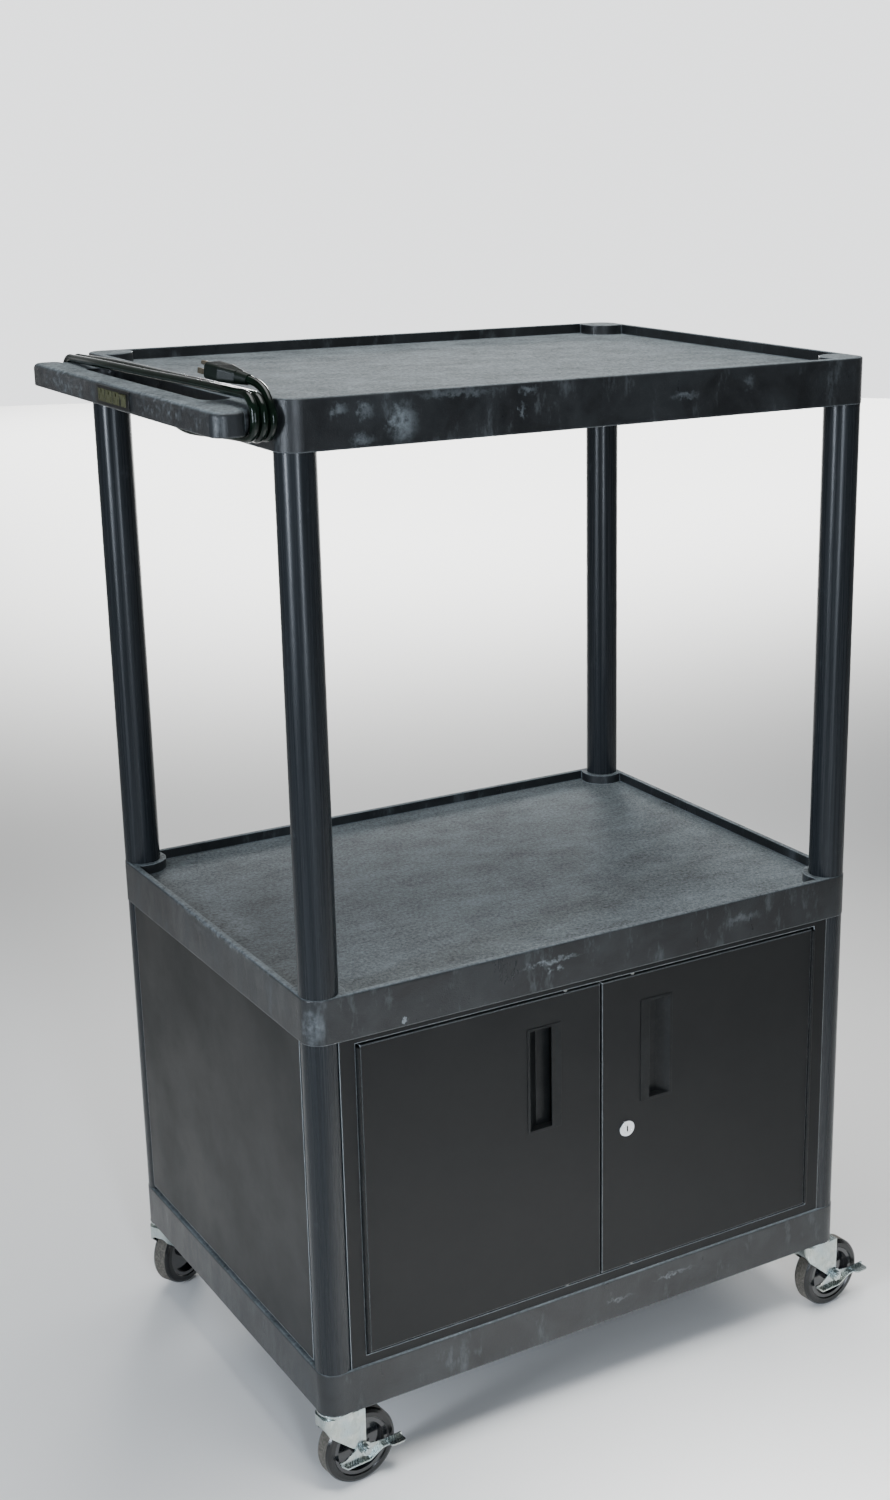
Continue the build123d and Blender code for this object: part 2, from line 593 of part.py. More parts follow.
def door(with_lock):
    """The right-hand door: a pressed pan with lips folded in behind, and holes for what it carries."""
    pan = box_between((DOOR_INNER_X, DOOR_FACE_Y, DOOR_BOTTOM), (DOOR_OUTER_X, DOOR_BACK_Y, DOOR_TOP))
    pan = fillet(pan.faces().sort_by(Axis.Y)[0].edges(), DOOR_EDGE_ROUND)
    pan -= box_between(
        (DOOR_INNER_X + SHEET, DOOR_FACE_Y + SHEET, DOOR_BOTTOM + SHEET),
        (DOOR_OUTER_X - SHEET, DOOR_BACK_Y - SHEET, DOOR_TOP - SHEET),
    )
    pan -= box_between(
        (DOOR_INNER_X + DOOR_LIP, DOOR_FACE_Y + SHEET, DOOR_BOTTOM + DOOR_LIP),
        (DOOR_OUTER_X - DOOR_LIP, DOOR_BACK_Y + OVERRUN, DOOR_TOP - DOOR_LIP),
    )
    half_width = PULL_WIDTH / 2 - PULL_CUP_MARGIN
    half_height = PULL_HEIGHT / 2 - PULL_CUP_MARGIN
    pan -= box_between(
        (PULL_FROM_CENTRE - half_width, DOOR_FACE_Y - OVERRUN, PULL_LEVEL - half_height),
        (PULL_FROM_CENTRE + half_width, DOOR_FACE_Y + SHEET + OVERRUN, PULL_LEVEL + half_height),
    )
    if with_lock:
        hole = LOCK_BARREL_DIAMETER / 2
        pan -= rod(hole, DOOR_FACE_Y - OVERRUN, DOOR_FACE_Y + SHEET + OVERRUN, LOCK_FROM_CENTRE, LOCK_LEVEL)
    return pan


def door_pull():
    """The right-hand pull: a flange on the door's face and a cup, undercut behind its cover plate."""
    low = PULL_LEVEL - PULL_HEIGHT / 2
    high = PULL_LEVEL + PULL_HEIGHT / 2
    near = PULL_FROM_CENTRE - PULL_WIDTH / 2
    far = PULL_FROM_CENTRE + PULL_WIDTH / 2
    front = DOOR_FACE_Y - PULL_FLANGE
    back = DOOR_FACE_Y + PULL_CUP_DEPTH
    pull = box_between((near, front, low), (far, DOOR_FACE_Y, high))
    pull = fillet(pull.edges().filter_by(Axis.Y), PULL_FLANGE_ROUND)
    pull += box_between(
        (near + PULL_CUP_MARGIN, DOOR_FACE_Y, low + PULL_CUP_MARGIN),
        (far - PULL_CUP_MARGIN, back, high - PULL_CUP_MARGIN),
    )
    inset = PULL_CUP_MARGIN + PULL_WALL
    cover_back = front + PULL_FLANGE + PULL_WALL
    hollow = make_face(Polyline(
        (near + PULL_COVER, front - OVERRUN),
        (near + PULL_COVER, cover_back),
        (near + inset, cover_back),
        (near + inset, back - PULL_WALL),
        (far - inset - PULL_RAMP, back - PULL_WALL),
        (far - inset, front),
        (far - inset, front - OVERRUN),
        close=True,
    ))
    cavity_height = PULL_HEIGHT - 2 * inset
    return pull - Pos(0, 0, PULL_LEVEL - cavity_height / 2) * extrude(hollow, cavity_height, dir=(0, 0, 1))


def hinge_leaf(on_door):
    """A leaf of the right-hand piano hinge: a plate along the pin with every other knuckle."""
    low = DOOR_BOTTOM + HINGE_END_MARGIN
    length = DOOR_HEIGHT - 2 * HINGE_END_MARGIN
    step = length / HINGE_KNUCKLES
    side = -1 if on_door else 1
    outer = KNUCKLE_RADIUS + HINGE_KNUCKLE_GAP
    inner = outer - HINGE_LEAF_THICKNESS
    near_x, far_x = sorted((HINGE_AXIS_X + side * inner, HINGE_AXIS_X + side * outer))
    leaf = box_between((near_x, HINGE_AXIS_Y, low), (far_x, HINGE_AXIS_Y + HINGE_LEAF_WIDTH, low + length))
    own = 1 if on_door else 0
    for k in range(HINGE_KNUCKLES):
        bottom = low + k * step
        if k % 2 == own:
            start, end = bottom + HINGE_KNUCKLE_GAP / 2, bottom + step - HINGE_KNUCKLE_GAP / 2
            leaf += disc(KNUCKLE_RADIUS, start, end, HINGE_AXIS_X, HINGE_AXIS_Y)
        else:
            start, end = bottom - HINGE_KNUCKLE_GAP / 2, bottom + step + HINGE_KNUCKLE_GAP / 2
            leaf -= disc(outer + HINGE_KNUCKLE_GAP, start, end, HINGE_AXIS_X, HINGE_AXIS_Y)
    bore = HINGE_PIN_DIAMETER / 2 + HINGE_BORE_CLEARANCE
    leaf -= disc(bore, low - OVERRUN, low + length + OVERRUN, HINGE_AXIS_X, HINGE_AXIS_Y)
    return leaf


def hinge_pin():
    """The pin of the right-hand hinge."""
    low = DOOR_BOTTOM + HINGE_END_MARGIN
    return disc(HINGE_PIN_DIAMETER / 2, low, DOOR_TOP - HINGE_END_MARGIN, HINGE_AXIS_X, HINGE_AXIS_Y)


def lock_barrel():
    """The lock's fixed barrel: a chamfered face on the door and a sleeve through it."""
    front = DOOR_FACE_Y - LOCK_FACE_THICKNESS
    face = rod(LOCK_FACE_DIAMETER / 2, front, DOOR_FACE_Y, LOCK_FROM_CENTRE, LOCK_LEVEL)
    face = chamfer(face.edges().sort_by(Axis.Y)[0], LOCK_FACE_CHAMFER)
    barrel = face + rod(LOCK_BARREL_DIAMETER / 2, DOOR_FACE_Y, LOCK_BACK_Y, LOCK_FROM_CENTRE, LOCK_LEVEL)
    bore = LOCK_PLUG_DIAMETER / 2 + LOCK_PLUG_CLEARANCE
    return barrel - rod(bore, front - OVERRUN, LOCK_BACK_Y + OVERRUN, LOCK_FROM_CENTRE, LOCK_LEVEL)


def lock_nut():
    """The hexagonal nut that clamps the barrel to the door from behind."""
    nut = extrude(RegularPolygon(LOCK_NUT_ACROSS / 2, 6, major_radius=False), LOCK_NUT_HEIGHT)
    nut -= Cylinder(LOCK_BARREL_DIAMETER / 2, 2 * LOCK_NUT_HEIGHT + 2 * OVERRUN)
    return Pos(LOCK_FROM_CENTRE, DOOR_FACE_Y + SHEET, LOCK_LEVEL) * Rot(X=-RIGHT_ANGLE) * nut


def lock_plug():
    """The turning key plug, with its slot upright."""
    front = DOOR_FACE_Y - LOCK_FACE_THICKNESS
    plug = rod(LOCK_PLUG_DIAMETER / 2, front, LOCK_BACK_Y, LOCK_FROM_CENTRE, LOCK_LEVEL)
    half_width, half_height = LOCK_KEY_SLOT_WIDTH / 2, LOCK_KEY_SLOT_HEIGHT / 2
    return plug - box_between(
        (LOCK_FROM_CENTRE - half_width, front - OVERRUN, LOCK_LEVEL - half_height),
        (LOCK_FROM_CENTRE + half_width, front + LOCK_KEY_SLOT_DEPTH, LOCK_LEVEL + half_height),
    )


def lock_cam():
    """The cam on the back of the plug, hanging down while the lock is open."""
    radius = CAM_WIDTH / 2
    outline = Pos(0, -CAM_LENGTH / 2 + radius) * SlotOverall(CAM_LENGTH, CAM_WIDTH, rotation=RIGHT_ANGLE)
    cam = extrude(outline, CAM_THICKNESS) - Cylinder(CAM_SCREW_SHANK / 2, 2 * CAM_THICKNESS + 2 * OVERRUN)
    return Pos(LOCK_FROM_CENTRE, LOCK_BACK_Y + CAM_THICKNESS, LOCK_LEVEL) * Rot(X=RIGHT_ANGLE) * cam


def cam_screw():
    """The screw that holds the cam to the plug."""
    back = LOCK_BACK_Y + CAM_THICKNESS
    head = rod(CAM_SCREW_HEAD / 2, back, back + CAM_SCREW_HEIGHT, LOCK_FROM_CENTRE, LOCK_LEVEL)
    head = fillet(head.edges().sort_by(Axis.Y)[-1], CAM_SCREW_HEIGHT / 2)
    return head + rod(CAM_SCREW_SHANK / 2, LOCK_BACK_Y, back, LOCK_FROM_CENTRE, LOCK_LEVEL)


def place_caster(piece, corner):
    """Turn a caster piece, drawn trailing along +X, to its heading and put it under its leg."""
    x, y = LEG_PLACES[corner]
    return Pos(x, y) * Rot(Z=CASTER_HEADINGS[corner]) * piece


def caster_stem():
    """What stays still: a stem in the shelf's boss, a top plate, a ball race and the kingpin."""
    race_bottom = CROWN_LEVEL + FORK_PLATE + RACE_GAP
    stem = disc(STEM_DIAMETER / 2, CASTER_HEIGHT, CASTER_HEIGHT + STEM_LENGTH)
    plate = disc(FORK_NOSE_REACH, CASTER_HEIGHT - TOP_PLATE_HEIGHT, CASTER_HEIGHT)
    race = disc(RACE_DIAMETER / 2, race_bottom, CASTER_HEIGHT - TOP_PLATE_HEIGHT)
    head_top = CROWN_LEVEL - RACE_GAP
    kingpin = disc(KINGPIN_DIAMETER / 2, head_top, race_bottom)
    head = disc(KINGPIN_HEAD_DIAMETER / 2, head_top - KINGPIN_HEAD_HEIGHT, head_top)
    return stem + plate + race + kingpin + head


def yoke():
    """The pressed fork: a crown, a round nose and two cheeks that taper to the axle."""
    length = FORK_NOSE_REACH + FORK_TAIL_REACH
    middle = (FORK_TAIL_REACH - FORK_NOSE_REACH) / 2
    top = CROWN_LEVEL + FORK_PLATE
    outer = Pos(middle, 0) * RectangleRounded(length, 2 * FORK_OUTER, FORK_NOSE_ROUND)
    outer += Pos(middle + length / 4, 0) * Rectangle(length / 2, 2 * FORK_OUTER)
    inner_round = FORK_NOSE_ROUND - FORK_PLATE
    inner = Pos(middle + FORK_PLATE, 0) * RectangleRounded(length, 2 * FORK_INNER, inner_round)
    inner += Pos(middle + length / 2, 0) * Rectangle(length, 2 * FORK_INNER)
    shell = extrude(outer, top) - extrude(inner, CROWN_LEVEL)
    cheek = make_face(Polyline(
        (-FORK_NOSE_REACH, top),
        (-FORK_NOSE_REACH, top - FORK_NOSE_DROP),
        (-FORK_CHEEK_REACH, top - FORK_CHEEK_DROP),
        (CASTER_TRAIL - FORK_FOOT_RADIUS, WHEEL_RADIUS),
        (CASTER_TRAIL + FORK_FOOT_RADIUS, WHEEL_RADIUS),
        (FORK_TAIL_REACH, top - FORK_CHEEK_DROP),
        (FORK_TAIL_REACH, top),
        close=True,
    ))
    cheek += Pos(CASTER_TRAIL, WHEEL_RADIUS) * Circle(FORK_FOOT_RADIUS)
    fork = shell & extrude(Plane.XZ * cheek, 2 * FORK_OUTER, both=True)
    fork -= disc(KINGPIN_DIAMETER / 2 + KINGPIN_CLEARANCE, CROWN_LEVEL - OVERRUN, top + OVERRUN)
    hole = AXLE_DIAMETER / 2 + AXLE_CLEARANCE
    return fork - rod(hole, -FORK_OUTER - OVERRUN, FORK_OUTER + OVERRUN, CASTER_TRAIL, WHEEL_RADIUS)


def axle(braked):
    """The axle bolt and its nut, as two solids."""
    nut_face = BRAKE_OUTER + BRAKE_SIDE_GAP if braked else FORK_OUTER
    nut_end = nut_face + AXLE_HEAD_HEIGHT
    hexagon = extrude(RegularPolygon(AXLE_HEAD_ACROSS / 2, 6, major_radius=False), AXLE_HEAD_HEIGHT)
    head = Pos(CASTER_TRAIL, FORK_OUTER + AXLE_HEAD_HEIGHT, WHEEL_RADIUS) * Rot(X=RIGHT_ANGLE) * hexagon
    shank = rod(AXLE_DIAMETER / 2, -nut_end - AXLE_END, FORK_OUTER, CASTER_TRAIL, WHEEL_RADIUS)
    nut = Pos(CASTER_TRAIL, -nut_face, WHEEL_RADIUS) * Rot(X=RIGHT_ANGLE) * hexagon
    nut -= rod(AXLE_DIAMETER / 2, -nut_end - OVERRUN, -nut_face + OVERRUN, CASTER_TRAIL, WHEEL_RADIUS)
    return Compound([head + shank, nut])


def wheel_profile(points):
    """A ring turned about the wheel's axle from (distance from axle, distance across) points."""
    ring = revolve(make_face(Polyline(*[(r, 0, w) for r, w in points], close=True)), Axis.Z)
    return Pos(CASTER_TRAIL, 0, WHEEL_RADIUS) * Rot(X=RIGHT_ANGLE) * ring


def tyre():
    """The rubber tyre, with sloped shoulders."""
    half = WHEEL_WIDTH / 2
    inner = WHEEL_RADIUS - TYRE_DEPTH
    crown = half - TYRE_SHOULDER
    outline = [
        (inner, -half + HUB_SIDE_INSET),
        (inner + HUB_SIDE_INSET, -half),
        (WHEEL_RADIUS - TYRE_SHOULDER, -half),
        (WHEEL_RADIUS - TYRE_SHOULDER / 3, -half + TYRE_SHOULDER / 3),
        (WHEEL_RADIUS, -crown),
    ]
    return wheel_profile(outline + [(r, -w) for r, w in reversed(outline)])


def wheel_hub():
    """The moulded wheel centre: a rim, a thin web and a boss as wide as the fork allows."""
    rim_outer = WHEEL_RADIUS - TYRE_DEPTH
    rim_inner = rim_outer - HUB_RIM_DEPTH
    half = WHEEL_WIDTH / 2 - HUB_SIDE_INSET
    boss = HUB_BOSS_DIAMETER / 2
    bore = AXLE_DIAMETER / 2 + AXLE_CLEARANCE
    boss_half = FORK_INNER - FIT_GAP
    outline = [
        (bore, -boss_half),
        (boss / 2, -boss_half),
        (boss, -half),
        (boss, -HUB_WEB / 2),
        (rim_inner, -HUB_WEB / 2),
        (rim_inner, -half),
        (rim_outer, -half),
    ]
    return wheel_profile(outline + [(r, -w) for r, w in reversed(outline)])


def brake_lever():
    """The side brake: a plate on the axle with a curled tab, an outward flange and a foot pedal."""
    edge = [
        (-BRAKE_TAB_REACH, -BRAKE_TAB_DROP),
        (-BRAKE_BELLY_FRONT, -BRAKE_BELLY_DROP),
        (BRAKE_BELLY_BACK, -BRAKE_BELLY_DROP),
        (BRAKE_NECK_REACH, -BRAKE_NECK_DROP),
        (BRAKE_PEDAL_REACH, -BRAKE_PEDAL_DROP),
    ]
    upper = [(x, z + BRAKE_THICKNESS) for x, z in reversed(edge)]
    strip = make_face(Polyline(*edge, *upper, close=True))
    web = make_face(Polyline(
        *edge,
        (BRAKE_PEDAL_REACH, BRAKE_PEDAL_DROP / 2),
        (BRAKE_NECK_REACH, BRAKE_NECK_DROP / 2),
        (BRAKE_EYE_RADIUS, BRAKE_EYE_RADIUS / 2),
        (-BRAKE_EYE_RADIUS, BRAKE_EYE_RADIUS / 2),
        (-BRAKE_BELLY_FRONT, -BRAKE_TAB_DROP + BRAKE_THICKNESS),
        (-BRAKE_TAB_REACH, -BRAKE_TAB_DROP + BRAKE_THICKNESS),
        close=True,
    ))
    web += Circle(BRAKE_EYE_RADIUS)
    lever = extrude(Plane.XZ * web, BRAKE_THICKNESS)
    lever += extrude(Plane.XZ * strip, BRAKE_THICKNESS + BRAKE_FLANGE)
    pad = RectangleRounded(BRAKE_PEDAL_LENGTH, BRAKE_PEDAL_WIDTH, BRAKE_PEDAL_ROUND)
    pad_x = BRAKE_PEDAL_REACH - BRAKE_PEDAL_LENGTH / 2
    lever += Pos(pad_x, -BRAKE_PEDAL_WIDTH / 2, -BRAKE_PEDAL_DROP) * extrude(pad, BRAKE_THICKNESS)
    hole = AXLE_DIAMETER / 2 + AXLE_CLEARANCE
    lever -= rod(hole, -BRAKE_THICKNESS - OVERRUN, OVERRUN, 0, 0)
    return Pos(CASTER_TRAIL, -BRAKE_INNER, WHEEL_RADIUS) * lever


def outlet_places():
    """The middle of each receptacle along the strip, and then the middle of the switch."""
    first = OUTLET_PLATE_LENGTH / 2 - OUTLET_FIRST_FROM_END
    places = [first - OUTLET_PITCH * k for k in range(OUTLET_COUNT + 1)]
    return places[:-1], places[-1]


def outlet_box():
    """The wiring box behind the plate, open to the front."""
    back_x = HANDLE_OUTER_X + OUTLET_BOX_DEPTH
    half_length, half_height = OUTLET_BOX_LENGTH / 2, OUTLET_BOX_HEIGHT / 2
    wall = OUTLET_BOX_WALL
    case = box_between(
        (HANDLE_OUTER_X, -half_length, OUTLET_LEVEL - half_height),
        (back_x, half_length, OUTLET_LEVEL + half_height),
    )
    return case - box_between(
        (HANDLE_OUTER_X - OVERRUN, -half_length + wall, OUTLET_LEVEL - half_height + wall),
        (back_x - wall, half_length - wall, OUTLET_LEVEL + half_height - wall),
    )


def outlet_plate():
    """The face plate, with a window for each receptacle and for the switch."""
    receptacles, switch = outlet_places()
    plate = RectangleRounded(OUTLET_PLATE_LENGTH, OUTLET_PLATE_HEIGHT, OUTLET_PLATE_ROUND)
    for y in receptacles:
        plate -= Pos(y, 0) * Rectangle(RECEPTACLE_WIDTH + 2 * FIT_GAP, RECEPTACLE_HEIGHT + 2 * FIT_GAP)
    plate -= Pos(switch, 0) * Rectangle(ROCKER_WIDTH + 2 * FIT_GAP, ROCKER_HEIGHT + 4 * FIT_GAP)
    upright = Plane(origin=(HANDLE_OUTER_X, 0, OUTLET_LEVEL), x_dir=(0, 1, 0), z_dir=(-1, 0, 0))
    flipped = mirror(plate, Plane.XZ)
    return extrude(upright * flipped, OUTLET_PLATE_THICKNESS)


def receptacles():
    """Three receptacles seated on the back of the box, each with two blade slots and a ground hole."""
    front = HANDLE_OUTER_X - OUTLET_PLATE_THICKNESS - RECEPTACLE_PROUD
    back = HANDLE_OUTER_X + OUTLET_BOX_DEPTH - OUTLET_BOX_WALL
    places, _ = outlet_places()
    group = []
    for y in places:
        half_width, half_height = RECEPTACLE_WIDTH / 2, RECEPTACLE_HEIGHT / 2
        block = box_between(
            (front, y - half_width, OUTLET_LEVEL - half_height),
            (back, y + half_width, OUTLET_LEVEL + half_height),
        )
        slot = Box(2 * SLOT_DEPTH, BLADE_SLOT_WIDTH, BLADE_SLOT_HEIGHT)
        for side in (-1, 1):
            block -= Pos(front, y + side * BLADE_SPACING / 2, OUTLET_LEVEL - BLADE_SLOT_DROP) * slot
        hole = Cylinder(GROUND_HOLE_DIAMETER / 2, 2 * SLOT_DEPTH)
        block -= Pos(front, y, OUTLET_LEVEL + GROUND_HOLE_RISE) * Rot(Y=RIGHT_ANGLE) * hole
        group.append(block)
    return Compound(group)


def rocker():
    """The switch rocker, drawn level and then tipped to its off side."""
    _, y = outlet_places()
    front = -OUTLET_PLATE_THICKNESS - ROCKER_PROUD
    half = ROCKER_HEIGHT / 2
    outline = make_face(Polyline(
        (front, -half),
        (front + ROCKER_HOLLOW, 0),
        (front, half),
        (FIT_GAP, half),
        (ROCKER_DEPTH, half / 2),
        (ROCKER_DEPTH, -half / 2),
        (FIT_GAP, -half),
        close=True,
    ))
    key = extrude(Plane.XZ * outline, ROCKER_WIDTH / 2, both=True)
    return Pos(HANDLE_OUTER_X, y, OUTLET_LEVEL) * Rot(Y=-ROCKER_TRAVEL / 2) * key


def cord_boot():
    """The strain relief: a flange in the wall of the strip's pocket and a boot that tapers to the lead."""
    start = CORD_EXIT_Y + RELIEF_LENGTH
    flange = rod(RELIEF_FLANGE_DIAMETER / 2 - FIT_GAP, start, start + CHANNEL_WALL, CORD_EXIT_X, OUTLET_LEVEL)
    boot = Cone(RELIEF_BASE_DIAMETER / 2, RELIEF_TIP_DIAMETER / 2, RELIEF_LENGTH)
    return flange + Pos(CORD_EXIT_X, start - RELIEF_LENGTH / 2, OUTLET_LEVEL) * Rot(X=RIGHT_ANGLE) * boot


def strand_x(k):
    """The place across the neck of strand k, counted from the handle's bar."""
    return CORD_FIRST_X + k * CORD_PITCH


def front_radius(k):
    """The radius of strand k's bend round the front of the neck: looser than the back one."""
    return CORD_BACK_RADIUS + (CORD_FRONT_SLACK + k * CORD_SLACK_STEP) / 2


def on_bend(x, end, radius, degrees):
    """A point of a bend in an upright plane: 0 degrees points to the back, 90 degrees up."""
    angle = math.radians(degrees)
    centre = Vector(x, end * CORD_WIND_Y, CORD_LOW_Z + radius)
    return centre + Vector(0, math.cos(angle), math.sin(angle)) * radius


def arc_by_angles(x, end, radius, start, finish):
    """An arc of a bend from one angle to another."""
    middle = (start + finish) / 2
    return ThreePointArc(
        on_bend(x, end, radius, start), on_bend(x, end, radius, middle), on_bend(x, end, radius, finish)
    )


def shift_run(start, y_from, y_to, end):
    """A level run forward that moves across by one pitch on two equal arcs."""
    before = Vector(start.X, y_from, start.Z)
    after = Vector(end.X, y_to, end.Z)
    middle = (before + after) * (1 / 2)
    first = TangentArc(before, middle, tangent=(0, -1, 0))
    second = TangentArc(middle, after, tangent=first % 1)
    return [Line(start, before), first, second, Line(after, end)]


def full_turn(k):
    """One turn: up round the front, back along the top, down round the back and forward underneath."""
    x = strand_x(k)
    front, back = front_radius(k), CORD_BACK_RADIUS
    tilt = 2 * math.degrees(math.atan((front - back) / (2 * CORD_WIND_Y)))
    up = arc_by_angles(x, -1, front, 3 * RIGHT_ANGLE, RIGHT_ANGLE - tilt)
    down = arc_by_angles(x, 1, back, RIGHT_ANGLE - tilt, -RIGHT_ANGLE)
    top_run = Line(up @ 1, down @ 0)
    under = shift_run(
        down @ 1,
        CORD_SHIFT_START_SHARE * CORD_WIND_Y,
        CORD_SHIFT_END_SHARE * CORD_WIND_Y,
        on_bend(strand_x(k + 1), -1, front_radius(k + 1), 3 * RIGHT_ANGLE),
    )
    return [up, top_run, down, *under]


def bend_radii(points):
    """One radius for each corner: a share of the shorter run over the tangent of half the turn."""
    radii = []
    for before, corner, after in zip(points, points[1:], points[2:]):
        first, second = corner - before, after - corner
        half_turn = math.radians(first.get_angle(second)) / 2
        radii.append(CORD_BEND_SHARE * min(first.length, second.length) / math.tan(half_turn))
    return radii


def lead_points():
    """The route from the strain relief to the first turn."""
    tip = Vector(CORD_EXIT_X, CORD_EXIT_Y, OUTLET_LEVEL)
    entry = on_bend(strand_x(0), -1, front_radius(0), 3 * RIGHT_ANGLE)
    route = [tip] + [tip + Vector(*step) for step in CORD_LEAD_STEPS]
    return route + [entry + Vector(0, CORD_LEAD_LAST_RUN, 0), entry]


def plug_direction():
    """The way the plug points: back, a little outwards and a little up."""
    yaw, rise = math.radians(PLUG_YAW), math.radians(PLUG_RISE)
    return Vector(-math.sin(yaw) * math.cos(rise), math.cos(yaw) * math.cos(rise), math.sin(rise))


def tail_points():
    """The route from the last bend to the plug."""
    last = CORD_TURNS
    climb = math.radians(2 * RIGHT_ANGLE - CORD_LAST_TURN)
    start = on_bend(strand_x(last), -1, front_radius(last), 3 * RIGHT_ANGLE - CORD_LAST_TURN)
    bend = start + Vector(0, math.cos(climb), math.sin(climb)) * CORD_CLIMB_RUN
    return [start, bend, bend + plug_direction() * CORD_PLUG_RUN]


def cord_path():
    """The whole route of the lead: straight runs and tangent arcs from the strain relief to the plug."""
    lead, tail = lead_points(), tail_points()
    lead_radii, tail_radii = bend_radii(lead), bend_radii(tail)
    print("cord bend radii", [round(r, 1) for r in lead_radii + tail_radii])
    pieces = [FilletPolyline(*lead, radius=lead_radii)]
    for k in range(CORD_TURNS):
        pieces += full_turn(k)
    last = CORD_TURNS
    foot = 3 * RIGHT_ANGLE
    pieces.append(arc_by_angles(strand_x(last), -1, front_radius(last), foot, foot - CORD_LAST_TURN))
    pieces.append(FilletPolyline(*tail, radius=tail_radii))
    return Wire([edge for piece in pieces for edge in piece.edges()])


def least_gap(path):
    """The least distance between the tube and itself, on points a good way apart along the route."""
    points = [path @ (k / CORD_SAMPLES) for k in range(CORD_SAMPLES + 1)]
    apart = math.ceil(3 * CORD_DIAMETER / (path.length / CORD_SAMPLES))
    nearest = min(
        (points[j] - points[i]).length
        for i in range(len(points))
        for j in range(i + apart, len(points))
    )
    return nearest - CORD_DIAMETER


def power_cord():
    """The mains lead in one tube."""
    path = cord_path()
    section = Plane(origin=path @ 0, z_dir=path % 0) * Circle(CORD_RADIUS)
    tube = sweep(section, path=path)
    ideal = math.pi * CORD_RADIUS ** 2 * path.length
    print("cord length", round(path.length, 1), "least gap to itself", round(least_gap(path), 2))
    print("cord volume over section by length", round(tube.volume / ideal, 4))
    return tube


def plug_plane(distance):
    """A plane across the plug at a distance from the end of the lead."""
    origin = tail_points()[-1] + plug_direction() * distance
    across = Vector(0, 0, 1).cross(plug_direction())
    return Plane(origin=origin, x_dir=across, z_dir=plug_direction())


def plug_body():
    """The moulded plug: a short boot and a body that swells to a flat face."""
    boot = loft([
        plug_plane(0) * Circle(PLUG_BOOT_DIAMETER / 2),
        plug_plane(PLUG_BOOT_LENGTH) * Circle(PLUG_NECK_DIAMETER / 2),
    ])
    swell = PLUG_BOOT_LENGTH + PLUG_BODY_LENGTH / 2
    front = PLUG_BOOT_LENGTH + PLUG_BODY_LENGTH
    narrow = PLUG_NECK_DIAMETER - 2 * FIT_GAP
    body = loft([
        plug_plane(PLUG_BOOT_LENGTH) * RectangleRounded(narrow, narrow, PLUG_ROUND),
        plug_plane(swell) * RectangleRounded(PLUG_WIDTH, PLUG_THICKNESS, PLUG_ROUND),
        plug_plane(front) * RectangleRounded(PLUG_WIDTH, PLUG_THICKNESS, PLUG_ROUND),
    ], ruled=True)
    return boot + body


def plug_blades():
    """The two flat blades and the round ground pin."""
    face = plug_plane(PLUG_BOOT_LENGTH + PLUG_BODY_LENGTH)
    group = []
    for side in (-1, 1):
        place = Pos(side * BLADE_SPACING / 2, -PLUG_BLADE_DROP)
        blade = place * Rectangle(PLUG_BLADE_THICKNESS, PLUG_BLADE_WIDTH)
        group.append(extrude(face * blade, PLUG_BLADE_LENGTH))
    group.append(extrude(face * Pos(0, PLUG_PIN_RISE) * Circle(PLUG_PIN_DIAMETER / 2), PLUG_BLADE_LENGTH))
    return Compound(group)


def build():
    """Every node of the cart, still about the middle of its shelves."""
    nodes = {
        "top_shelf": top_shelf(),
        "middle_shelf": shelf(MIDDLE_LEVEL, True, True, False),
        "bottom_shelf": drilled(shelf(BOTTOM_LEVEL, True, False, True)),
    }
    for corner, place in LEG_PLACES.items():
        nodes[f"upper_leg_{corner}"] = leg(MIDDLE_TOP, TOP_LEVEL, place)
        nodes[f"lower_leg_{corner}"] = leg(BOTTOM_TOP, MIDDLE_LEVEL, place)
    nodes["cabinet_left_side"] = drilled(side_panel(-1))
    nodes["cabinet_right_side"] = drilled(side_panel(1))
    nodes["cabinet_back"] = drilled(back_panel())
    nodes["cabinet_front_frame"] = front_frame()
    nodes["cabinet_screws"] = screws()
    nodes["door_bumpers"] = bumpers()

    right_hand = {
        "hinge_frame_leaf": hinge_leaf(False),
        "hinge_pin": hinge_pin(),
        "hinge_door_leaf": hinge_leaf(True),
        "door_pull": door_pull(),
    }
    for name, piece in right_hand.items():
        nodes[f"right_{name}"] = piece
        nodes[f"left_{name}"] = mirror(piece, Plane.YZ)
    nodes["right_door"] = door(True)
    nodes["left_door"] = mirror(door(False), Plane.YZ)
    nodes["lock_barrel"] = lock_barrel()
    nodes["lock_nut"] = lock_nut()
    nodes["lock_plug"] = lock_plug()
    nodes["lock_cam"] = lock_cam()
    nodes["cam_screw"] = cam_screw()

    stem = caster_stem()
    nodes["caster_stems"] = Compound([place_caster(stem, corner) for corner in LEG_PLACES])
    for corner in LEG_PLACES:
        braked = corner.startswith("f")
        nodes[f"caster_{corner}_yoke"] = place_caster(yoke(), corner)
        nodes[f"caster_{corner}_axle"] = place_caster(axle(braked), corner)
        nodes[f"caster_{corner}_tyre"] = place_caster(tyre(), corner)
        nodes[f"caster_{corner}_hub"] = place_caster(wheel_hub(), corner)
        if braked:
            nodes[f"caster_{corner}_brake"] = place_caster(brake_lever(), corner)

    nodes["outlet_box"] = outlet_box()
    nodes["outlet_plate"] = outlet_plate()
    nodes["outlet_receptacles"] = receptacles()
    nodes["outlet_switch"] = rocker()
    nodes["cord_strain_relief"] = cord_boot()
    nodes["power_cord"] = power_cord()
    nodes["plug_body"] = plug_body()
    nodes["plug_blades"] = plug_blades()
    return nodes


CORD_NODES = ("power_cord", "plug_body", "plug_blades")


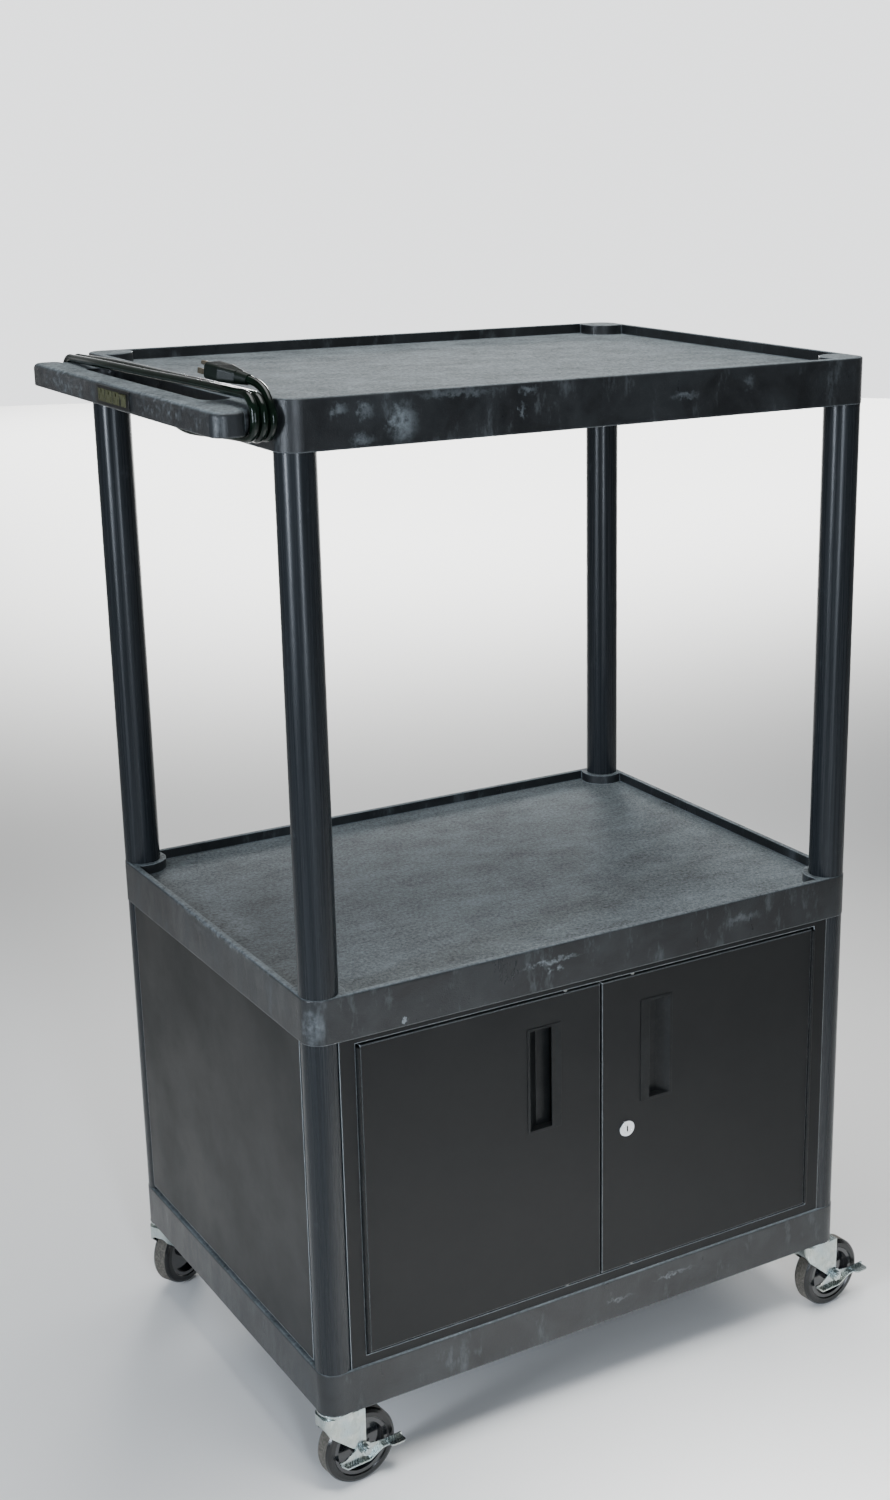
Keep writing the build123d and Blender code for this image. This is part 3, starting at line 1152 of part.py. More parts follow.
def row_origin(nodes):
    """The bottom centre of the cart's box, without the lead and its plug."""
    boxes = [shape.bounding_box() for name, shape in nodes.items() if name not in CORD_NODES]
    low_x, high_x = min(box.min.X for box in boxes), max(box.max.X for box in boxes)
    low_y, high_y = min(box.min.Y for box in boxes), max(box.max.Y for box in boxes)
    return Vector((low_x + high_x) / 2, (low_y + high_y) / 2, min(box.min.Z for box in boxes))


NODES = build()
ORIGIN = row_origin(NODES)
print("origin in the drawing", [round(v, 4) for v in ORIGIN])
os.makedirs("parts", exist_ok=True)
for node, shape in NODES.items():
    export_step(Pos(-ORIGIN.X, -ORIGIN.Y, -ORIGIN.Z) * shape, f"parts/{node}.step")
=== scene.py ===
import logging
import math
from dataclasses import dataclass, field
from enum import Enum

import bmesh
import bpy
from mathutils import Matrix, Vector


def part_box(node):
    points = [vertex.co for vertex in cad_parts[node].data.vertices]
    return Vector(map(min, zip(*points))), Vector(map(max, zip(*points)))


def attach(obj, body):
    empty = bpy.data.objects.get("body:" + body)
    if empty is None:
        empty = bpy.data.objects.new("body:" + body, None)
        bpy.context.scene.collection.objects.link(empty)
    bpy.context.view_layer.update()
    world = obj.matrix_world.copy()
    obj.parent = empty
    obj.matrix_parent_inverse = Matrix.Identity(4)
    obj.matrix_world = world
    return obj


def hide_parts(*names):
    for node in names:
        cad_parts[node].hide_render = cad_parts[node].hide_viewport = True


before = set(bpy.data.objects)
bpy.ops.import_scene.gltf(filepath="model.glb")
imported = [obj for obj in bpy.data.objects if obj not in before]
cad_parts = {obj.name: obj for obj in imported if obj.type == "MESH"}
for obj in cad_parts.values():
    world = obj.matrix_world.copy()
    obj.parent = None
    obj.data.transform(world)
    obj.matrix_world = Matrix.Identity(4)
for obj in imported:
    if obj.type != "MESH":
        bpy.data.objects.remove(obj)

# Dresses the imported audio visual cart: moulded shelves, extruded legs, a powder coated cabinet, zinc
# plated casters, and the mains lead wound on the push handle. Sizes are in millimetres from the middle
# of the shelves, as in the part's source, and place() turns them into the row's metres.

LOG = logging.getLogger("cart")
MILLIMETRE = 0.001
FRONT_CORNERS = ("fl", "fr")
CORNERS = ("fl", "fr", "bl", "br")
# The dot product of the rounded and the flat normal at which an edge begins to look worn and to take
# its painted highlight.
EDGE_START = 0.997
Node = bpy.types.Node
Socket = bpy.types.NodeSocket
Tree = bpy.types.NodeTree
Triple = tuple[float, float, float]


def shelf_middle() -> Vector:
    """The middle of the shelves in the row frame, which is where the drawing's own origin lies."""
    low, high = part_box("middle_shelf")
    return Vector(((low.x + high.x) / 2, (low.y + high.y) / 2, 0))


SHELF_MIDDLE = shelf_middle()


def place(x: float, y: float, z: float) -> Vector:
    """A point of the drawing as a point of the row frame.

    Args:
        x: millimetres along the doors from the middle of the shelves.
        y: millimetres towards the back.
        z: millimetres above the floor.

    Returns:
        The point in metres.
    """
    return SHELF_MIDDLE + Vector((x, y, z)) * MILLIMETRE


def linear(hex_colour: str) -> tuple[float, float, float, float]:
    """Turns an sRGB colour to linear values.

    Args:
        hex_colour: the colour as a hash and six hex digits.

    Returns:
        Linear red, green and blue, and an alpha of one.
    """
    toe, toe_slope, offset, gamma = 0.04045, 12.92, 0.055, 2.4
    channels = [int(hex_colour[i:i + 2], 16) / 255 for i in (1, 3, 5)]
    values = [c / toe_slope if c <= toe else ((c + offset) / (1 + offset)) ** gamma for c in channels]
    return values[0], values[1], values[2], 1.0


def per_metre(size_mm: float) -> float:
    """The noise scale whose cells are about size_mm across, for coordinates in metres."""
    return 1 / (size_mm * MILLIMETRE)


def feed(tree: Tree, node: Node, sockets: dict) -> None:
    """Gives a node's inputs their values.

    Args:
        tree: the node tree that holds the node.
        node: the node to feed.
        sockets: input name or index to a constant, to an output socket, or to a node whose first
            output is meant.
    """
    for key, value in sockets.items():
        source = value.outputs[0] if isinstance(value, Node) else value
        if isinstance(source, Socket):
            tree.links.new(source, node.inputs[key])
        else:
            node.inputs[key].default_value = source


def add(tree: Tree, kind: str, sockets: dict | None = None, **settings) -> Node:
    """Adds a node with its settings and its links.

    Args:
        tree: the node tree that gets the node.
        kind: the node's type name.
        sockets: what its inputs get, as feed() takes it.
        settings: attributes of the node itself.

    Returns:
        The new node.
    """
    made = tree.nodes.new(kind)
    for name, value in settings.items():
        setattr(made, name, value)
    feed(tree, made, sockets or {})
    return made


def worn_and_highlit_edges(tree: Tree, edge: Node, full: float) -> Node:
    """A mask of the edges, where the rounded normal leaves the flat one, for wear and a painted highlight.

    Args:
        tree: the material's node tree.
        edge: the Bevel node that gives the rounded normal.
        full: how far the two normals' dot product falls where the mask is one.

    Returns:
        The mask, from zero on flats to one on edges.
    """
    flat = add(tree, "ShaderNodeNewGeometry").outputs["Normal"]
    same = add(tree, "ShaderNodeVectorMath", {0: edge, 1: flat}, operation="DOT_PRODUCT")
    return add(tree, "ShaderNodeMapRange", {
        "Value": same.outputs["Value"], "From Min": EDGE_START, "From Max": full})


class Finish:
    """A finish that a piece can wear. Each kind builds its own nodes and is made only once."""

    name: str

    def build(self, tree: Tree, shader: Node) -> None:
        """Adds this finish's nodes.

        Args:
            tree: the material's node tree.
            shader: the shader that they feed.
        """
        raise NotImplementedError

    def material(self) -> bpy.types.Material:
        """The Blender material, made at the first call and found again after that."""
        found = bpy.data.materials.get(self.name)
        if found:
            return found
        made = bpy.data.materials.new(self.name)
        made.use_nodes = True
        tree = made.node_tree
        self.build(tree, tree.nodes["Principled BSDF"])
        return made


def wear(piece: bpy.types.Object, finish: Finish) -> None:
    """Gives a piece one finish in place of whatever it wore."""
    piece.data.materials.clear()
    piece.data.materials.append(finish.material())


@dataclass(frozen=True)
class RubAndLightPatch:
    """A pale patch, either a rubbed place or painted light: its middle and its half sizes in the drawing's
    millimetres, and its strength.
    """

    middle: Triple
    half: Triple
    strength: float

    def mask(self, tree: Tree, where: Node) -> Node:
        """The patch's own mask.

        Args:
            tree: the material's node tree.
            where: the place on the shelf.

        Returns:
            The patch's strength round its middle, falling to zero at its rim.
        """
        centre = place(*self.middle)
        scale = Vector([1 / (h * MILLIMETRE) for h in self.half])
        shift = tuple(-c * s for c, s in zip(centre, scale))
        near = add(tree, "ShaderNodeMapping", {"Vector": where, "Location": shift, "Scale": tuple(scale)})
        away = add(tree, "ShaderNodeVectorMath", {0: near}, operation="LENGTH")
        return add(tree, "ShaderNodeMapRange", {
            "Value": away.outputs["Value"], "From Min": 1.0, "From Max": 0.2, "To Max": self.strength},
            interpolation_type="SMOOTHSTEP")


TOP_SHELF_SCUFFS = (
    RubAndLightPatch((-339, -305, 1357), (14, 12, 9), 0.5),
    RubAndLightPatch((-307, -305, 1354), (13, 12, 14), 0.6),
    RubAndLightPatch((-262, -305, 1338), (24, 12, 30), 0.75),
    RubAndLightPatch((-311, -305, 1322), (20, 12, 9), 0.5),
    RubAndLightPatch((-108, -305, 1340), (5, 12, 14), 0.6),
    RubAndLightPatch((-100, -305, 1364), (16, 12, 6), 0.5),
    RubAndLightPatch((-190, -305, 1366), (75, 12, 7), 0.35),
    RubAndLightPatch((120, -305, 1342), (28, 12, 6), 0.4),
    RubAndLightPatch((215, -305, 1352), (10, 12, 12), 0.3),
)
MIDDLE_SHELF_RUBS_AND_HIGHLIGHT = (
    RubAndLightPatch((-73, -305, 655), (55, 12, 4), 0.8),
    RubAndLightPatch((-77, -305, 644), (5, 12, 4), 0.9),
    RubAndLightPatch((-62, -305, 642), (6, 12, 4), 0.8),
    RubAndLightPatch((-281, -305, 624.8), (4, 12, 4), 2.2),
    # This patch on the front-left corner round is partly pale wear and partly a painted highlight, where
    # the corner catches the lights.
    RubAndLightPatch((-397, -296, 640), (18, 20, 30), 0.55),
    RubAndLightPatch((223, -305, 650), (40, 12, 8), 0.35),
)
BOTTOM_SHELF_SCUFFS = (
    RubAndLightPatch((120, -305, 152), (45, 12, 3), 0.5),
    RubAndLightPatch((30, -305, 142), (30, 12, 3), 0.4),
)
MIDDLE_DECK_SCUFFS = (
    RubAndLightPatch((-365, 20, 662), (50, 90, 8), 1.0),
    RubAndLightPatch((-402, -40, 676), (9, 240, 9), 0.9),
    RubAndLightPatch((-130, 83, 662), (70, 30, 8), 0.35),
)
# Painted light: the handle bar's outer face is painted paler along its length, standing in for light
# falling on it from above left.
HANDLE_FACE_PAINTED_LIGHT = (
    RubAndLightPatch((-472, -165, 1348), (9, 190, 22), 0.5),
    RubAndLightPatch((-472, 165, 1348), (9, 170, 22), 0.6),
)
RUB_AND_LIGHT_PATCHES = (
    *TOP_SHELF_SCUFFS, *MIDDLE_SHELF_RUBS_AND_HIGHLIGHT, *BOTTOM_SHELF_SCUFFS, *MIDDLE_DECK_SCUFFS, *HANDLE_FACE_PAINTED_LIGHT)


@dataclass(frozen=True)
class MouldedPolyethylene(Finish):
    """Structural-foam polyethylene, moulded in a blasted tool.

    The eye sees a chalky dark wall with cloudy flow marks and pale rubbed patches, beside painted light on
    the handle's face and a painted highlight on the middle shelf's corner. Edges are burnished paler by
    hands and boxes and painted paler still as a highlight. Every upward face is painted greyer, partly for
    dust that the leather grain holds and partly as painted light from above.
    """

    name: str = "moulded_polyethylene"
    wall: str = "#141618"
    cloud: str = "#26292b"
    # Rubs are painted this pale, and so are the painted light on the handle's face and the painted
    # highlight on the middle shelf's corner.
    rub_and_light: str = "#7c8488"
    # The deck colours go on every upward face, so their paleness beside the walls is partly dust in the
    # grain and partly painted light from above.
    deck: str = "#2f3537"
    deck_pale: str = "#7d878b"
    deck_rub_and_light: str = "#98a1a4"
    # Edges get this pale colour partly for wear and partly as a painted highlight where they catch the
    # light.
    edge_wear_and_highlight: str = "#7d868a"
    # The walls' roughness runs from this less smoother to this plus duller, as in the next two finishes.
    roughness: float = 0.34
    smoother: float = 0.1
    duller: float = 0.14
    deck_roughness: float = 0.85
    specular: float = 0.46
    # The leather grain is finer than a millimetre on the real deck and is drawn coarser, to show.
    grain_mm: float = 1.8
    grain_depth_mm: float = 0.7
    # Dust gathers in the deck's grain in flecks of a few millimetres, over a mottle of mottle_share.
    speck_mm: float = 4.5
    mottle_share: float = 0.4
    deck_rub_and_light_share: float = 0.6
    cloud_mm: float = 85.0
    streak_mm: float = 30.0
    # The burnished rim, which also takes a painted highlight, is about a millimetre wide on the real
    # shelves and is drawn wider, to show.
    edge_mm: float = 2.0
    edge_full: float = 0.9
    # The rubs' outlines wander over ragged_mm, in patches of warp_mm.
    warp_mm: float = 9.0
    ragged_mm: float = 30.0
    # Flow marks are drawn out up the walls and along the decks.
    wall_stretch: Triple = (1.0, 1.0, 0.35)
    deck_stretch: Triple = (0.6, 1.0, 1.0)

    def rubs_and_painted_light(self, tree: Tree, where: Socket, streak: Node) -> Node:
        """Every scuff of the shelves and every patch of painted light, in one mask, with ragged outlines.

        Args:
            tree: the material's node tree.
            where: the place on the shelf.
            streak: the flow marks, whose peaks are rubbed a little everywhere.

        Returns:
            The mask, from zero to one.
        """
        ragged = add(tree, "ShaderNodeTexNoise", {
            "Vector": where, "Scale": per_metre(self.warp_mm), "Detail": 5.0, "Roughness": 0.7})
        middle = (0.5, 0.5, 0.5)
        shift = add(tree, "ShaderNodeVectorMath", {
            0: ragged.outputs["Color"], 1: middle}, operation="SUBTRACT")
        reach = (self.ragged_mm * MILLIMETRE,) * 3
        warped = add(tree, "ShaderNodeVectorMath", {
            0: shift, 1: reach, 2: where}, operation="MULTIPLY_ADD")
        total = add(tree, "ShaderNodeMapRange", {
            "Value": streak, "From Min": 0.56, "From Max": 0.8, "To Max": 0.4})
        broken = add(tree, "ShaderNodeMapRange", {
            "Value": ragged, "From Min": 0.36, "From Max": 0.66, "To Min": 0.15})
        for patch in RUB_AND_LIGHT_PATCHES:
            mark = patch.mask(tree, warped)
            total = add(tree, "ShaderNodeMath", {0: mark, 1: broken, 2: total}, operation="MULTIPLY_ADD")
        return add(tree, "ShaderNodeClamp", {0: total})

    def wall_colour(self, tree: Tree, where: Socket, rubs_and_painted_light: Node) -> Node:
        """The upright faces: a dark body with clouds, and its rubs and patches of painted light.

        Args:
            tree: the material's node tree.
            where: the place on the shelf.
            rubs_and_painted_light: the mask of the rubs and of the painted light.

        Returns:
            The node that gives the colour.
        """
        cloud = add(tree, "ShaderNodeTexNoise", {
            "Vector": where, "Scale": per_metre(self.cloud_mm),
            "Detail": 7.0, "Roughness": 0.62, "Distortion": 0.6})
        cloudy = add(tree, "ShaderNodeMapRange", {"Value": cloud, "From Min": 0.4, "From Max": 0.66})
        body = add(tree, "ShaderNodeMixRGB", {0: cloudy, 1: linear(self.wall), 2: linear(self.cloud)})
        # Rubs, and the painted light on the handle's face and the middle shelf's corner, are mixed in here.
        return add(tree, "ShaderNodeMixRGB", {0: rubs_and_painted_light, 1: body, 2: linear(self.rub_and_light)})

    def deck_colour(self, tree: Tree, where: Socket, rubs_and_painted_light: Node) -> Node:
        """The upward faces, paler partly as painted light from above: fine specks over a mottle that lies
        along the shelf, and softer rubs and painted light.

        Args:
            tree: the material's node tree.
            where: the place on the shelf.
            rubs_and_painted_light: the mask of the rubs and of the painted light.

        Returns:
            The node that gives the colour.
        """
        along = add(tree, "ShaderNodeMapping", {"Vector": where, "Scale": self.deck_stretch})
        mottle = add(tree, "ShaderNodeTexNoise", {
            "Vector": along, "Scale": per_metre(self.cloud_mm / 2), "Detail": 6.0, "Roughness": 0.65})
        specks = add(tree, "ShaderNodeTexNoise", {
            "Vector": where, "Scale": per_metre(self.speck_mm), "Detail": 5.0, "Roughness": 0.85})
        both = add(tree, "ShaderNodeMath", {
            0: mottle, 1: self.mottle_share, 2: specks}, operation="MULTIPLY_ADD")
        share = add(tree, "ShaderNodeMapRange", {"Value": both, "From Min": 0.54, "From Max": 0.88})
        deck = add(tree, "ShaderNodeMixRGB", {0: share, 1: linear(self.deck), 2: linear(self.deck_pale)})
        # The softer rubs here also carry part of the painted light on the handle.
        softer = add(tree, "ShaderNodeMath", {0: rubs_and_painted_light, 1: self.deck_rub_and_light_share}, operation="MULTIPLY")
        return add(tree, "ShaderNodeMixRGB", {0: softer, 1: deck, 2: linear(self.deck_rub_and_light)})

    def build(self, tree: Tree, shader: Node) -> None:
        """Walls with flow marks, rubs and painted light, grained decks paler partly as painted light from
        above, and burnished edges with a painted highlight.

        Args:
            tree: the material's node tree.
            shader: the shader that the nodes feed.
        """
        where = add(tree, "ShaderNodeTexCoord").outputs["Object"]
        normal = add(tree, "ShaderNodeNewGeometry").outputs["Normal"]
        facing = add(tree, "ShaderNodeSeparateXYZ", {0: normal})
        up = add(tree, "ShaderNodeMapRange", {
            "Value": facing.outputs["Z"], "From Min": 0.5, "From Max": 0.97})
        tall = add(tree, "ShaderNodeMapping", {"Vector": where, "Scale": self.wall_stretch})
        streak = add(tree, "ShaderNodeTexNoise", {
            "Vector": tall, "Scale": per_metre(self.streak_mm), "Detail": 9.0, "Roughness": 0.72})
        grain = add(tree, "ShaderNodeTexNoise", {
            "Vector": where, "Scale": per_metre(self.grain_mm), "Detail": 3.0, "Roughness": 0.7})
        rubs_and_painted_light = self.rubs_and_painted_light(tree, where, streak)
        walls = self.wall_colour(tree, where, rubs_and_painted_light)
        decks = self.deck_colour(tree, where, rubs_and_painted_light)
        # Painted light: upward faces take the paler deck colours, standing in part for light from above.
        body = add(tree, "ShaderNodeMixRGB", {0: up, 1: walls, 2: decks})
        edge = add(tree, "ShaderNodeBevel", {"Radius": self.edge_mm * MILLIMETRE}, samples=6)
        worn_and_highlit = worn_and_highlit_edges(tree, edge, self.edge_full)
        # The edges are painted pale, partly as wear and partly as a painted highlight.
        colour = add(tree, "ShaderNodeMixRGB", {0: worn_and_highlit, 1: body, 2: linear(self.edge_wear_and_highlight)})
        gloss = add(tree, "ShaderNodeMapRange", {
            "Value": streak, "From Min": 0.3, "From Max": 0.7,
            "To Min": self.roughness - self.smoother, "To Max": self.roughness + self.duller})
        matt = add(tree, "ShaderNodeMixRGB", {0: up, 1: gloss, 2: (*[self.deck_roughness] * 3, 1.0)})
        bump = add(tree, "ShaderNodeBump", {
            "Height": grain, "Strength": 0.5, "Distance": self.grain_depth_mm * MILLIMETRE, "Normal": edge})
        feed(tree, shader, {
            "Base Color": colour, "Roughness": matt, "Normal": bump, "Specular IOR Level": self.specular})


@dataclass(frozen=True)
class ExtrudedTube(Finish):
    """Extruded rigid vinyl tube, as the legs are cut from.

    The eye sees a satin surface with faint lines along its length, left by the die, so that the
    lights draw long soft bands on it.
    """

    name: str = "extruded_vinyl_tube"
    colour: str = "#16191b"
    second: str = "#22262a"
    handled: str = "#4a5054"
    roughness: float = 0.26
    smoother: float = 0.07
    duller: float = 0.09
    specular: float = 0.3
    # Die lines lie under a millimetre apart on the real tube and are drawn coarser, to show.
    line_mm: float = 3.5
    line_depth_mm: float = 0.4
    handled_mm: float = 24.0
    stretch: Triple = (1.0, 1.0, 0.012)

    def build(self, tree: Tree, shader: Node) -> None:
        """Die lines along the tube in colour, gloss and height, and a few handling marks.

        Args:
            tree: the material's node tree.
            shader: the shader that the nodes feed.
        """
        where = add(tree, "ShaderNodeTexCoord").outputs["Object"]
        drawn = add(tree, "ShaderNodeMapping", {"Vector": where, "Scale": self.stretch})
        lines = add(tree, "ShaderNodeTexNoise", {
            "Vector": drawn, "Scale": per_metre(self.line_mm), "Detail": 4.0, "Roughness": 0.6})
        marks = add(tree, "ShaderNodeTexNoise", {
            "Vector": where, "Scale": per_metre(self.handled_mm), "Detail": 8.0, "Roughness": 0.75})
        marked = add(tree, "ShaderNodeMapRange", {
            "Value": marks, "From Min": 0.6, "From Max": 0.8, "To Max": 0.35})
        tube = add(tree, "ShaderNodeMixRGB", {0: lines, 1: linear(self.colour), 2: linear(self.second)})
        colour = add(tree, "ShaderNodeMixRGB", {0: marked, 1: tube, 2: linear(self.handled)})
        gloss = add(tree, "ShaderNodeMapRange", {
            "Value": lines, "From Min": 0.3, "From Max": 0.7,
            "To Min": self.roughness - self.smoother, "To Max": self.roughness + self.duller})
        bump = add(tree, "ShaderNodeBump", {
            "Height": lines, "Strength": 0.12, "Distance": self.line_depth_mm * MILLIMETRE})
        feed(tree, shader, {
            "Base Color": colour, "Roughness": gloss, "Normal": bump, "Specular IOR Level": self.specular})


@dataclass(frozen=True)
class PowderCoat(Finish):
    """Black polyester powder coat on sheet steel.

    The eye sees an even, fine orange peel that spreads each reflection, faint wiped patches, and
    paler lines on the folded edges, partly where the coat is thin and partly a painted highlight where the
    folds catch the light.
    """

    name: str = "black_powder_coat"
    colour: str = "#101112"
    second: str = "#181919"
    dust: str = "#4b4d4b"
    # Folded edges get this pale colour partly for the thin coat and partly as a painted highlight where
    # they catch the light.
    edge_wear_and_highlight: str = "#bcc4c8"
    roughness: float = 0.4
    smoother: float = 0.06
    duller: float = 0.1
    specular: float = 0.22
    # Orange peel of about a millimetre is drawn a little coarser, to show.
    peel_mm: float = 1.8
    peel_depth_mm: float = 0.3
    wipe_mm: float = 140.0
    dust_mm: float = 7.0
    # The coat is thin for about half a millimetre at a fold, and the painted highlight lies there too,
    # drawn wider for the same reason.
    edge_mm: float = 1.4
    edge_full: float = 0.92

    def build(self, tree: Tree, shader: Node) -> None:
        """Orange peel, wiped patches, dust, and thin pale edges that are partly a painted highlight.

        Args:
            tree: the material's node tree.
            shader: the shader that the nodes feed.
        """
        where = add(tree, "ShaderNodeTexCoord").outputs["Object"]
        wipe = add(tree, "ShaderNodeTexNoise", {
            "Vector": where, "Scale": per_metre(self.wipe_mm), "Detail": 6.0, "Roughness": 0.6})
        wiped = add(tree, "ShaderNodeMapRange", {"Value": wipe, "From Min": 0.35, "From Max": 0.68})
        peel = add(tree, "ShaderNodeTexNoise", {
            "Vector": where, "Scale": per_metre(self.peel_mm), "Detail": 2.0, "Roughness": 0.5})
        dust = add(tree, "ShaderNodeTexNoise", {
            "Vector": where, "Scale": per_metre(self.dust_mm), "Detail": 9.0, "Roughness": 0.85})
        dusty = add(tree, "ShaderNodeMapRange", {
            "Value": dust, "From Min": 0.62, "From Max": 0.78, "To Max": 0.18})
        coat = add(tree, "ShaderNodeMixRGB", {0: wiped, 1: linear(self.colour), 2: linear(self.second)})
        dusted = add(tree, "ShaderNodeMixRGB", {0: dusty, 1: coat, 2: linear(self.dust)})
        edge = add(tree, "ShaderNodeBevel", {"Radius": self.edge_mm * MILLIMETRE}, samples=6)
        worn_and_highlit = worn_and_highlit_edges(tree, edge, self.edge_full)
        # The folded edges are painted pale, partly for the thin coat and partly as a painted highlight.
        colour = add(tree, "ShaderNodeMixRGB", {0: worn_and_highlit, 1: dusted, 2: linear(self.edge_wear_and_highlight)})
        gloss = add(tree, "ShaderNodeMapRange", {
            "Value": wipe, "From Min": 0.3, "From Max": 0.7,
            "To Min": self.roughness - self.smoother, "To Max": self.roughness + self.duller})
        bump = add(tree, "ShaderNodeBump", {
            "Height": peel, "Strength": 0.25, "Distance": self.peel_depth_mm * MILLIMETRE, "Normal": edge})
        feed(tree, shader, {
            "Base Color": colour, "Roughness": gloss, "Normal": bump, "Specular IOR Level": self.specular})


@dataclass(frozen=True)
class PlatedSteel(Finish):
    """Metal with a plated coat: zinc on the casters, chrome on the lock, nickel on the plug's blades.

    The eye sees a bright metal with soft cloudy spangle, thin streaks where the sheet was drawn, and
    a grey-green or blue cast that drifts over it.
    """

    name: str
    colour: str
    second: str
    roughness: float
    # The crystals of a plated coat are too fine to see and are drawn far coarser, to show.
    spangle_mm: float
    cast: str
    # The roughness runs between these multiples of itself.
    smoother: float = 0.7
    duller: float = 1.5
    drift_mm: float = 22.0
    # Drawing lines are a fraction of a millimetre apart and are drawn coarser, to show.
    streak_mm: float = 1.2
    streak_depth_mm: float = 0.2
    stretch: Triple = (1.0, 1.0, 0.08)
    edge_mm: float = 0.6

    def build(self, tree: Tree, shader: Node) -> None:
        """Spangle cells, drawn streaks and a drifting cast.

        Args:
            tree: the material's node tree.
            shader: the shader that the nodes feed.
        """
        where = add(tree, "ShaderNodeTexCoord").outputs["Object"]
        cells = add(tree, "ShaderNodeTexVoronoi", {"Vector": where, "Scale": per_metre(self.spangle_mm)})
        tone = add(tree, "ShaderNodeSeparateColor", {0: cells.outputs["Color"]})
        drift = add(tree, "ShaderNodeTexNoise", {
            "Vector": where, "Scale": per_metre(self.drift_mm), "Detail": 5.0})
        drifted = add(tree, "ShaderNodeMapRange", {"Value": drift, "From Min": 0.4, "From Max": 0.65})
        drawn = add(tree, "ShaderNodeMapping", {"Vector": where, "Scale": self.stretch})
        streak = add(tree, "ShaderNodeTexNoise", {
            "Vector": drawn, "Scale": per_metre(self.streak_mm), "Detail": 4.0, "Roughness": 0.7})
        base = add(tree, "ShaderNodeMixRGB", {0: tone, 1: linear(self.colour), 2: linear(self.second)})
        colour = add(tree, "ShaderNodeMixRGB", {0: drifted, 1: base, 2: linear(self.cast)})
        gloss = add(tree, "ShaderNodeMapRange", {
            "Value": streak, "From Min": 0.3, "From Max": 0.75,
            "To Min": self.roughness * self.smoother, "To Max": self.roughness * self.duller})
        edge = add(tree, "ShaderNodeBevel", {"Radius": self.edge_mm * MILLIMETRE}, samples=4)
        bump = add(tree, "ShaderNodeBump", {
            "Height": streak, "Strength": 0.1, "Distance": self.streak_depth_mm * MILLIMETRE,
            "Normal": edge})
        feed(tree, shader, {"Base Color": colour, "Roughness": gloss, "Normal": bump, "Metallic": 1.0})


@dataclass(frozen=True)
class SmallMoulding(Finish):
    """Rubber, vinyl and nylon mouldings and small enamelled pieces.

    The eye sees one dark colour that drifts a little, a fine tooth from the tool, flecks of dust, and
    a gloss that differs with the stuff.
    """

    name: str
    colour: str
    second: str
    roughness: float
    dust: str = "#55544e"
    dust_amount: float = 0.25
    # The roughness runs between these multiples of itself.
    smoother: float = 0.85
    duller: float = 1.2
    # A moulding tool's tooth is finer than half a millimetre and is drawn coarser, to show.
    tooth_mm: float = 0.9
    tooth_depth_mm: float = 0.4
    tooth: float = 0.12
    drift_mm: float = 25.0
    speck_mm: float = 4.0
    edge_mm: float = 0.6
    coat: float = 0.0
    gloss: float = 0.5

    def build(self, tree: Tree, shader: Node) -> None:
        """A drift between two close colours, dust, and a fine tooth.

        Args:
            tree: the material's node tree.
            shader: the shader that the nodes feed.
        """
        where = add(tree, "ShaderNodeTexCoord").outputs["Object"]
        blotch = add(tree, "ShaderNodeTexNoise", {
            "Vector": where, "Scale": per_metre(self.drift_mm), "Detail": 4.0, "Roughness": 0.6})
        drift = add(tree, "ShaderNodeMapRange", {"Value": blotch, "From Min": 0.35, "From Max": 0.65})
        body = add(tree, "ShaderNodeMixRGB", {0: drift, 1: linear(self.colour), 2: linear(self.second)})
        specks = add(tree, "ShaderNodeTexNoise", {
            "Vector": where, "Scale": per_metre(self.speck_mm), "Detail": 8.0, "Roughness": 0.8})
        dusty = add(tree, "ShaderNodeMapRange", {
            "Value": specks, "From Min": 0.5, "From Max": 0.72, "To Max": self.dust_amount})
        colour = add(tree, "ShaderNodeMixRGB", {0: dusty, 1: body, 2: linear(self.dust)})
        tooth = add(tree, "ShaderNodeTexNoise", {
            "Vector": where, "Scale": per_metre(self.tooth_mm), "Detail": 2.0})
        roughness = add(tree, "ShaderNodeMapRange", {
            "Value": specks, "From Min": 0.3, "From Max": 0.7,
            "To Min": self.roughness * self.smoother, "To Max": self.roughness * self.duller})
        edge = add(tree, "ShaderNodeBevel", {"Radius": self.edge_mm * MILLIMETRE}, samples=4)
        bump = add(tree, "ShaderNodeBump", {
            "Height": tooth, "Strength": self.tooth, "Distance": self.tooth_depth_mm * MILLIMETRE,
            "Normal": edge})
        feed(tree, shader, {
            "Base Color": colour, "Roughness": roughness, "Normal": bump,
            "Coat Weight": self.coat, "Specular IOR Level": self.gloss})


